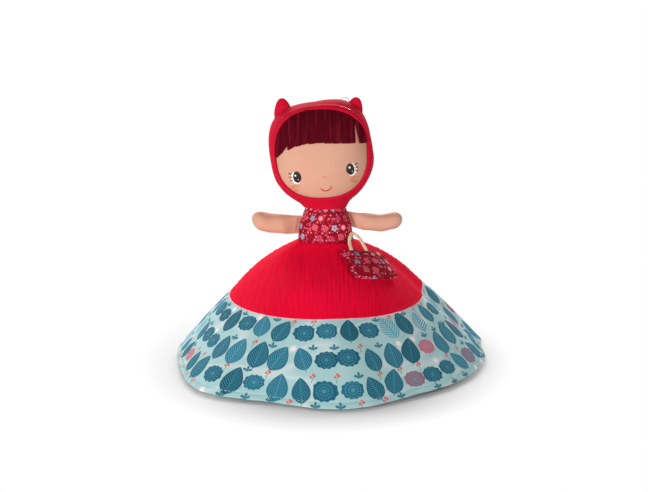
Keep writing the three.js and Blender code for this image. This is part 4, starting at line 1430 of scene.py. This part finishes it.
# Red crepe: upright crinkles a few millimetres wide and a fine weave
red_crepe = cloth("red_crepe", 0.08, "ff2040", 0.8, 0.05)
x, y = red_crepe.flat_place()
streaks = red_crepe.flat_noise(x / 3.0, y / 24, detail=3.0)
weave = red_crepe.flat_noise(x * 2.0, y * 1.2)
patches = red_crepe.flat_noise(x / 45, y / 45, detail=1.0)
red_crepe.paint(red_crepe.colour("ee0a36", "d00228", streaks * 0.75 + patches * 0.7 - 0.35))
red_crepe.lay("ec2044", red_crepe.below(0.68 - weave, 0.0, 0.2) * 0.35)
red_crepe.emboss(streaks * 0.75 + weave * 0.25, 0.0008, 0.55)

lining_cotton = jersey("lining_cotton", "8c868d", "79747c", knit=900.0)
hood_jersey = jersey("hood_jersey", "cc0b30", "b20425", 0.08, "ff3050")
skin_jersey = jersey("skin_jersey", "d2a089", "c28a72", 0.08, "ffd0b0")
dark_jersey = jersey("dark_jersey", "2b282e", "1d1b20")
loop_thread = jersey("loop_thread", "b9b2bd", "a39ca8")
hem_thread = jersey("hem_thread", "a9d4d2", "8fc0c0")
grey_plush = pile("grey_plush", "8d8a90", "6f6c74", "a9a6ac", "d8d8e0")
pale_plush = pile("pale_plush", "d9d4cc", "c2bcb4", "ece8e2", "ffffff")
dark_thread = stitched("dark_thread", "200c10", "100608", 0.0, 0.02)
white_thread = stitched("white_thread", "fbf6ee", "e4dcd2", 0.6)
coral_thread = stitched("coral_thread", "c8473c", "a93830", 0.9)
blush_thread = stitched("blush_thread", "d97d58", "c46a48", 0.9)

# Velour: upright streaks where the pile lies one way or the other, and lighter clumps that are painted
# sheen
hair_velour = cloth("hair_velour", 0.25, "a01838", 0.9, 0.03)
x, y, z = hair_velour.parts(hair_velour.own_place())
streaks = hair_velour.noise(hair_velour.join(x * 900, 0.0, z * 60), 1.0, 3.0, 0.6)
painted_sheen_clumps = hair_velour.noise(hair_velour.join(x * 230, 0.0, z * 25), 1.0)
hair_velour.paint(hair_velour.colour("600a19", "34030a", streaks * 1.2 - 0.2))
# Painted sheen: lighter clumps laid over the pile's streaks
hair_velour.lay("861a2e", hair_velour.below(0.6 - painted_sheen_clumps, 0.0, 0.16) * 0.5)
hair_velour.emboss(streaks, 0.0005, 0.8)

# Woven tape: two sets of slanting threads that pass over each other
TAPE_THREAD = 1.25
TAPE_SLANT = 1.6
cord_tape = cloth("cord_tape", 0.1, "fff0d0", 0.75, 0.2)
x, y = cord_tape.flat_place()
one, other = (
    cord_tape.sine((x + y * slant) * (FULL_TURN / TAPE_THREAD)) * 0.5 + 0.5
    for slant in (TAPE_SLANT, -TAPE_SLANT)
)
threads = cord_tape.most(one, other)
cord_tape.paint(cord_tape.colour("e6c096", "ffe9cb", threads))
cord_tape.emboss(threads, 0.00035, 0.8)


class Cells:
    """A print's cells: where a point lies from each cell's drawn middle, turned by a drawn
    angle, and the cell's own chances. Each motif stays inside its cell."""

    def __init__(self, finish, x, y, pitch, loose, seed):
        self.finish = finish
        row = finish.floor(y / pitch)
        x = x + row * (0.5 * pitch)
        column = finish.floor(x / pitch)
        here = finish.chance(column, row, seed)
        self.kind, self.tone, turn = finish.chance(column, row, seed + 40.0)
        u = x - (column + 0.5 + (here[0] - 0.5) * loose) * pitch
        v = y - (row + 0.5 + (here[1] - 0.5) * loose) * pitch
        self.u, self.v = finish.leaned_back(u, v, (turn - 0.5) * FULL_TURN)
        self.radius = finish.length(u, v)
        self.angle = finish.math("ARCTAN2", self.v, self.u)

    def is_kind(self, low, high):
        """1 in the cells whose chance lies between two shares."""
        return self.finish.between(self.kind, low, high)

    def disc(self, radius, soft=0.4):
        """1 within a radius of the middle."""
        return self.finish.below(self.radius, radius, soft)

    def petals(self, count, radius, depth):
        """A round of petals: the edge is radius (1 - depth + depth |cos(count angle / 2)|)."""
        wave = abs(self.finish.cosine(self.angle * (count / 2)))
        return self.finish.below(self.radius / (1 - depth + depth * wave), radius, 0.4)

    def leaf(self, length, width):
        """A pointed oval along v: half width = width (1 - t^2)(1 + 0.3 t), t = 2 v / length."""
        finish = self.finish
        t = self.v * (2 / length)
        half = width * finish.most(1 - t * t, 0.0) * (1 + 0.3 * t)
        return finish.near(self.u, half, 0.35) * finish.near(t, 0.98, 0.05)

    def leaflets(self, length, width, pitch, rise, thick):
        """Slanting leaflets on both sides of a stem: at every pitch of v - rise |u|, inside a leaf."""
        off = self.finish.stripe((self.v - abs(self.u) * rise) / pitch) * pitch
        return self.finish.below(off, thick, 0.3) * self.leaf(length, width)


FLORAL_SCALE = 1.28


def floral_print(name):
    """Deep red cotton with grey-blue flowers, pink discs, leaf sprigs, dots and thin branches."""
    finish = cloth(name, 0.05, "ff6080", 0.8, 0.08)
    x, y = (part * FLORAL_SCALE for part in finish.flat_place())
    weave = finish.flat_noise(x * 2.0, y * 2.0)
    finish.paint(finish.colour("9c0a22", "7c0418", finish.flat_noise(x / 9, y / 9)))
    bend = finish.flat_noise(x / 8, y / 8, 3.0, 1.0)
    part = finish.flat_noise(x / 11, y / 11, 8.0, 1.0)
    branch = finish.near(bend - 0.5, 0.012, 0.008) * finish.below(part, 0.52, 0.05)
    finish.lay("e05a74", branch * 0.8)

    dots = Cells(finish, x, y, 4.6, 0.25, 11.0)
    finish.lay("f58a98", dots.disc(0.95) * dots.is_kind(0.0, 0.42))
    seeds = Cells(finish, x + 1.7, y + 2.9, 6.4, 0.3, 17.0)
    finish.lay("c83e5a", seeds.leaf(4.6, 1.0) * seeds.is_kind(0.5, 0.85))

    cells = Cells(finish, x, y, 12.5, 0.12, 5.0)
    finish.lay("98081f", cells.disc(5.2, 1.0) * cells.is_kind(0.0, 0.62))
    flower, disc = cells.is_kind(0.0, 0.3), cells.is_kind(0.3, 0.46)
    spray, daisy = cells.is_kind(0.46, 0.62), cells.is_kind(0.62, 0.78)
    finish.lay(finish.colour("a8a3bb", "6c6a86", cells.tone), cells.petals(5, 4.4, 0.3) * flower)
    finish.lay("c9c3d2", cells.petals(5, 3.2, 0.75) * flower * 0.6)
    finish.lay("2c2438", cells.disc(1.0) * flower)
    finish.lay("e9566c", cells.petals(8, 3.8, 0.08) * disc)
    finish.lay("f7a3ab", cells.disc(2.3, 1.2) * disc)
    finish.lay("ef6f84", cells.leaflets(10.5, 4.6, 2.4, 0.9, 0.62) * spray)
    finish.lay("d8505e", cells.leaf(10.5, 0.5) * spray)
    finish.lay("c8486a", cells.petals(9, 4.2, 0.62) * daisy)
    finish.lay("a40a24", cells.disc(1.1) * daisy)
    finish.lay("ffffff", finish.below(0.7 - weave, 0.0, 0.2) * 0.05)
    finish.emboss(weave, 0.0002, 0.6)
    return finish


floral_cotton = floral_print("floral_cotton")

# Printed border: leaves, seed heads and ferns in three staggered rows round the skirt
BORDER_ROWS = 3
ROW_HEIGHT = 26.5
ROW_MIDDLE = 14.5
SMALL_ROW_HEIGHT = 10.0
SMALL_ROW_MIDDLE = 4.5
LEAVES_IN_FIRST_ROW = 33
MORE_IN_EACH_ROW = 5
BERRIES = ((-1.7, 1.0), (1.5, 1.9), (0.1, 3.2))


class BorderCell:
    """A row of the border's cells: where a point lies from its cell's drawn middle, across, up
    and round it, in millimetres, and the cell's own chances."""

    def __init__(self, finish, place, row, seed, first, height, middle, loose):
        across, down, width = place
        count = LEAVES_IN_FIRST_ROW + MORE_IN_EACH_ROW * row
        across = across * (count / FLAT_ROUND) + first
        column = finish.floor(across)
        here = finish.chance(column, float(row), seed)
        self.size = 0.86 + here[2] * 0.22
        self.kind, self.lean, self.tone = finish.chance(column, float(row), seed + 30.0)
        self.u = (across - column - 0.5 + (here[0] - 0.5) * loose) * (FLAT_ROUND / count) * width
        self.v = middle - down + (here[1] - 0.5) * height * 0.16
        self.radius = finish.length(self.u, self.v)
        self.angle = finish.math("ARCTAN2", self.u, self.v)


def lay_small_things(finish, cell):
    """Sprigs, stalks of three berries and pale glows, each in its share of the cells."""
    sprig = finish.between(cell.kind, 0.0, 0.42)
    berries = finish.between(cell.kind, 0.42, 0.74)
    glow = finish.between(cell.kind, 0.86, 1.1)
    fingers = 4.4 * abs(finish.cosine(cell.angle * 2.5)) ** 0.7
    finish.lay("2d7686", finish.below(cell.radius, fingers, 0.5) * finish.below(-cell.v, 1.2, 0.4) * sprig)
    stalk = finish.near(cell.u - cell.v * 0.25, 0.32, 0.2) * finish.near(cell.v + 1.2, 3.0, 0.3)
    finish.lay("4d9a8e", stalk * berries)
    for side, rise in BERRIES:
        berry = finish.below(finish.length(cell.u - side, cell.v - rise), 1.15, 0.35)
        finish.lay("e0615c", berry * berries)
    finish.lay("f3e3e3", finish.below(cell.radius, 2.6, 2.2) * glow * 0.9)


def lay_leaves(finish, cell):
    """Leaves with ribs and veins, round seed heads with spokes and dashes, and ferns, each in its
    share of the cells and leaning by its chance."""
    off, along = finish.leaned_back(cell.u, cell.v, (cell.lean - 0.5) * 0.9)
    dark = finish.colour("0f4a5c", "21718a", cell.tone)
    light = finish.colour("37869c", "62a6b8", cell.tone)
    size, radius, angle = cell.size, cell.radius, cell.angle
    leaf = finish.between(cell.kind, 0.0, 0.56)
    seed_head = finish.between(cell.kind, 0.56, 0.88)
    fern = finish.between(cell.kind, 0.88, 1.1)

    t = along / (12.6 * size)
    width = size * 9.0 * finish.most(1 - t * t, 0.0) ** 0.75 * (1 - 0.3 * t) - 0.3
    chevron = finish.stripe((along - abs(off) * 0.95) / 2.5)
    vein = finish.below(chevron, 0.16, 0.14) * finish.near(off, width - 1.1, 0.4)
    rib = finish.near(off, 0.34, 0.25) * finish.near(along, 11.0, 0.5)
    stem = finish.near(off, 0.42, 0.2) * finish.near(along + 12.0 * size, 2.4, 0.3)
    finish.lay("6d8f93", stem * leaf)
    finish.lay(dark, finish.near(off, width, 0.4) * leaf)
    finish.lay(light, finish.most(vein, rib) * leaf * 0.85)

    edge = 9.3 * size * (1 + 0.05 * finish.cosine(angle * 11))
    ball = finish.below(radius * (1 + 0.12 * finish.cosine(angle * 2)), edge, 0.4)
    spokes = finish.near(finish.sine(angle * 8 + radius * 0.12) * radius, 0.9, 0.7)
    rings = finish.below(finish.stripe(radius / 2.6), 0.17, 0.12)
    dashes = rings * finish.below(finish.cosine(angle * 16 + radius), 0.2, 0.3)
    marks = finish.most(spokes * finish.below(radius, 7.2, 0.5), dashes * finish.below(radius, 7.4, 0.5))
    pink = finish.below(0.84 - cell.tone, 0.0, 0.02)
    finish.lay(finish.colour(dark, "cf6674", pink), ball * seed_head)
    finish.lay(light, marks * seed_head * 0.75)

    blade = finish.stripe((along - abs(off) * 0.75) / 2.9) * 2.9
    frond = finish.below(blade, 0.85, 0.35) * finish.near(off, width * 1.02, 0.5)
    midrib = finish.near(off, 0.4, 0.25) * finish.near(along + 1.5, 11.5, 0.4)
    finish.lay(light, finish.most(frond, midrib) * fern)


def border_print(name):
    """Pale aqua cotton with a faint wandering path, three staggered rows of leaves, small things
    between them and a light seam at its top."""
    finish = cloth(name, 0.04, "ffffff", 0.8, 0.1)
    across, down = finish.flat_place()
    radius = TIER_SEAM[0] + down / BORDER_SLANT * (HEM[0] - TIER_SEAM[0])
    width = radius * (FULL_TURN / FLAT_ROUND)
    place = (across, down, width)
    run = across * width
    weave = finish.flat_noise(run * 2.2, down * 2.2)
    finish.paint(finish.colour("98c0c0", "aeced0", finish.flat_noise(run / 24, down / 15)))
    path = finish.flat_noise(run / 75, down / 38, 4.0, 0.0)
    finish.lay("ccd8d8", finish.near(path - 0.5, 0.03, 0.06) * 0.75)
    for row in range(BORDER_ROWS + 1):
        middle = SMALL_ROW_MIDDLE + ROW_HEIGHT * row - (2.0 if row == BORDER_ROWS else 0.0)
        first = 0.5 * ((row + 1) % 2) + 0.02
        small = BorderCell(finish, place, row, 71.0, first, SMALL_ROW_HEIGHT, middle, 0.25)
        lay_small_things(finish, small)
    for row in range(BORDER_ROWS):
        middle = ROW_MIDDLE + ROW_HEIGHT * row
        leaves = BorderCell(finish, place, row, 33.0, 0.5 * (row % 2), ROW_HEIGHT, middle, 0.14)
        lay_leaves(finish, leaves)
    finish.lay("efe3e0", finish.below(down, 1.1, 0.6) * 0.9)
    finish.lay("ffffff", finish.below(0.66 - weave, 0.0, 0.25) * 0.08)
    finish.emboss(weave, 0.0002, 0.5)
    return finish


border_cotton = border_print("border_cotton")

# Which piece rides on which body, what it stands for and what it is made of

upper_panels, border_panels = (
    [f"skirt_{tier}_{side}" for side in ("front", "right", "back", "left")] for tier in ("upper", "border")
)
dressing = [
    (red_tier, "main", upper_panels, "red_cloth", red_crepe, None),
    (border, "main", border_panels, "printed_border", border_cotton, None),
    (hem_stitches, "main", [], "printed_border", hem_thread, None),
    (lining, "main", ["reverse_skirt"], "reverse_cloth", lining_cotton, None),
    (bodice, "main", ["bodice"], "floral_cloth", floral_cotton, 0.9),
    (neck, "neck_ball", ["neck"], "hood_jersey", hood_jersey, 0.9),
    (head, "head_unit", ["head"], "skin_jersey", skin_jersey, 0.95),
    (hood, "head_unit", ["hood"], "hood_jersey", hood_jersey, None),
    (fringe, "head_unit", ["hair_fringe"], "hair_velour", hair_velour, None),
    (ears["left"], "head_unit", ["hood_ear_left"], "hood_jersey", hood_jersey, 0.8),
    (ears["right"], "head_unit", ["hood_ear_right"], "hood_jersey", hood_jersey, 0.8),
    (thread_loop, "thread_loop", ["hang_loop"], "loop_thread", loop_thread, None),
    (eye_edges, "head_unit", [], "skin_jersey", white_thread, None),
    (eye_patches, "head_unit", [], "dark_jersey", dark_thread, None),
    (eye_glints, "head_unit", [], "skin_jersey", white_thread, None),
    (lash_stitches, "head_unit", [], "dark_jersey", dark_thread, None),
    (cheek_stitches, "head_unit", [], "skin_jersey", blush_thread, None),
    (mouth_stitches, "head_unit", [], "skin_jersey", coral_thread, None),
    (nose_stitches, "head_unit", [], "skin_jersey", blush_thread, None),
    (arms["left"], None, ["arm_left"], "skin_jersey", skin_jersey, 0.9),
    (arms["right"], None, ["arm_right"], "skin_jersey", skin_jersey, 0.9),
    (bag_cord, "bag_cord", ["bag_handle"], "bag_cord", cord_tape, None),
    (bag, "bag_unit", ["bag"], "floral_cloth", floral_cotton, 0.6),
    (reverse_bodice, "main", ["reverse_bodice"], "reverse_cloth", lining_cotton, 0.9),
    (reverse_neck, "reverse_neck_ball", ["reverse_neck"], "grey_plush", grey_plush, 0.9),
    (reverse_head, "reverse_head_unit", ["reverse_head"], "grey_plush", grey_plush, 0.95),
    (reverse_eyes, "reverse_head_unit", [], "dark_jersey", dark_thread, None),
    (reverse_muzzle, "reverse_head_unit", ["reverse_muzzle"], "pale_plush", pale_plush, 0.9),
    (reverse_nose, "reverse_head_unit", ["reverse_nose"], "dark_jersey", dark_jersey, 0.9),
    (reverse_ears["left"], "reverse_head_unit", ["reverse_ear_left"], "grey_plush", grey_plush, 0.7),
    (reverse_ears["right"], "reverse_head_unit", ["reverse_ear_right"], "grey_plush", grey_plush, 0.7),
    (reverse_arms["left"], "reverse_left_arm", ["reverse_arm_left"], "grey_plush", grey_plush, 0.9),
    (reverse_arms["right"], "reverse_right_arm", ["reverse_arm_right"], "grey_plush", grey_plush, 0.9),
]
for piece, body, nodes, slot, finish, fill in dressing:
    piece.data.materials.append(finish.material)
    if body:
        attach(piece, body)
    if nodes:
        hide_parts(*nodes)

# An arm is sewn into the side seam; the ends of its first centimetre are worked out, and its place is baked
# into its mesh
ARM_BENDS_FROM_TO = (-1.0, 9.0)
for name, arm in ARMS.items():
    hinge, _ = arm_hinge(arm["side"], arm["height"])
    start, end = (tuple(place(hinge + (arm["side"] * off, 0, 0))) for off in ARM_BENDS_FROM_TO)
    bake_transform(arms[name])

# Stage and light

FLOOR_HALF = 15.0
FLOOR_KEEPS_SHADE_TO = 0.165
FLOOR_FADES_OVER = 0.05
FLOOR_FADE_STRETCH = 1.14
corners = np.array([(-1, -1, 0), (1, -1, 0), (1, 1, 0), (-1, 1, 0)]) * FLOOR_HALF
floor_mesh = bpy.data.meshes.new("floor")
floor_mesh.from_pydata(corners.tolist(), [], [(0, 1, 2, 3)])
floor = put("floor", floor_mesh)
floor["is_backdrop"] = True

# The floor is plain light grey paper round the doll, darker than the white further off: painted shade that
# deepens its shadow there. Further off, what the camera or a gloss sees is white
plain = {"Roughness": 0.9, "Base Color": (0.82, 0.82, 0.82, 1), "Specular IOR Level": 0.0}
paper = Finish("floor_paper", plain)
x, y, _ = paper.parts(paper.own_place())
away = paper.length((x - AXIS[0]) * FLOOR_FADE_STRETCH, y - AXIS[1])
camera_ray, gloss_ray, clear_ray = (
    paper.light_path(f"Is {kind} Ray") for kind in ("Camera", "Glossy", "Transmission")
)
seen = paper.most(camera_ray, paper.most(gloss_ray, clear_ray))
start = -FLOOR_KEEPS_SHADE_TO / FLOOR_FADES_OVER
fade = paper.math("MULTIPLY_ADD", away, 1 / FLOOR_FADES_OVER, start, limit=True)
white = paper.node("ShaderNodeEmission", sockets={"Color": "ffffff", "Strength": 1.0})
lit = Value(paper, paper.tree.nodes["Principled BSDF"].outputs[0])
surface = paper.node("ShaderNodeMixShader", sockets={0: fade * seen, 1: lit, 2: white})
paper.give(paper.tree.nodes["Material Output"].inputs["Surface"], surface)
floor_mesh.materials.append(paper.material)

# The world is white where it is seen and a softer light elsewhere
WORLD_LIGHT = 0.15
world = bpy.data.worlds.new("studio")
bpy.context.scene.world = world
world.use_nodes = True
studio = Nodes(world.node_tree)
seen = studio.most(studio.light_path("Is Camera Ray"), studio.light_path("Is Glossy Ray"))
shades = {"Value": seen, "To Min": WORLD_LIGHT, "To Max": 1.0}
background = studio.tree.nodes["Background"].inputs
studio.give(background["Color"], "ffffff")
studio.give(background["Strength"], studio.node("ShaderNodeMapRange", sockets=shades))

LAMPS = (
    ("key", (-1.0, -1.25, 0.26), (0.6, 0.6), 20.5),
    ("fill", (0.9, -1.25, 0.26), (0.6, 0.6), 9.0),
    ("back", (-0.15, 1.28, 1.08), (2.4, 0.35), 41.0),
)
for name, spot, size, watts in LAMPS:
    lamp_data = bpy.data.lights.new(name, "AREA")
    lamp_data.shape = "RECTANGLE"
    lamp_data.size, lamp_data.size_y = size
    lamp_data.energy = watts
    lamp = put(name, lamp_data)
    lamp.location = Vector(AXIS) + Vector(spot)
    towards = Vector(AXIS) + Vector((0, 0, 0.12)) - lamp.location
    lamp.rotation_euler = towards.to_track_quat("-Z", "Y").to_euler()

bpy.context.scene.view_settings.view_transform = "Standard"

visual_low, visual_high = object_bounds()
size = {"cad": [list(cad_low), list(cad_high)], "visual": [list(visual_low), list(visual_high)]}
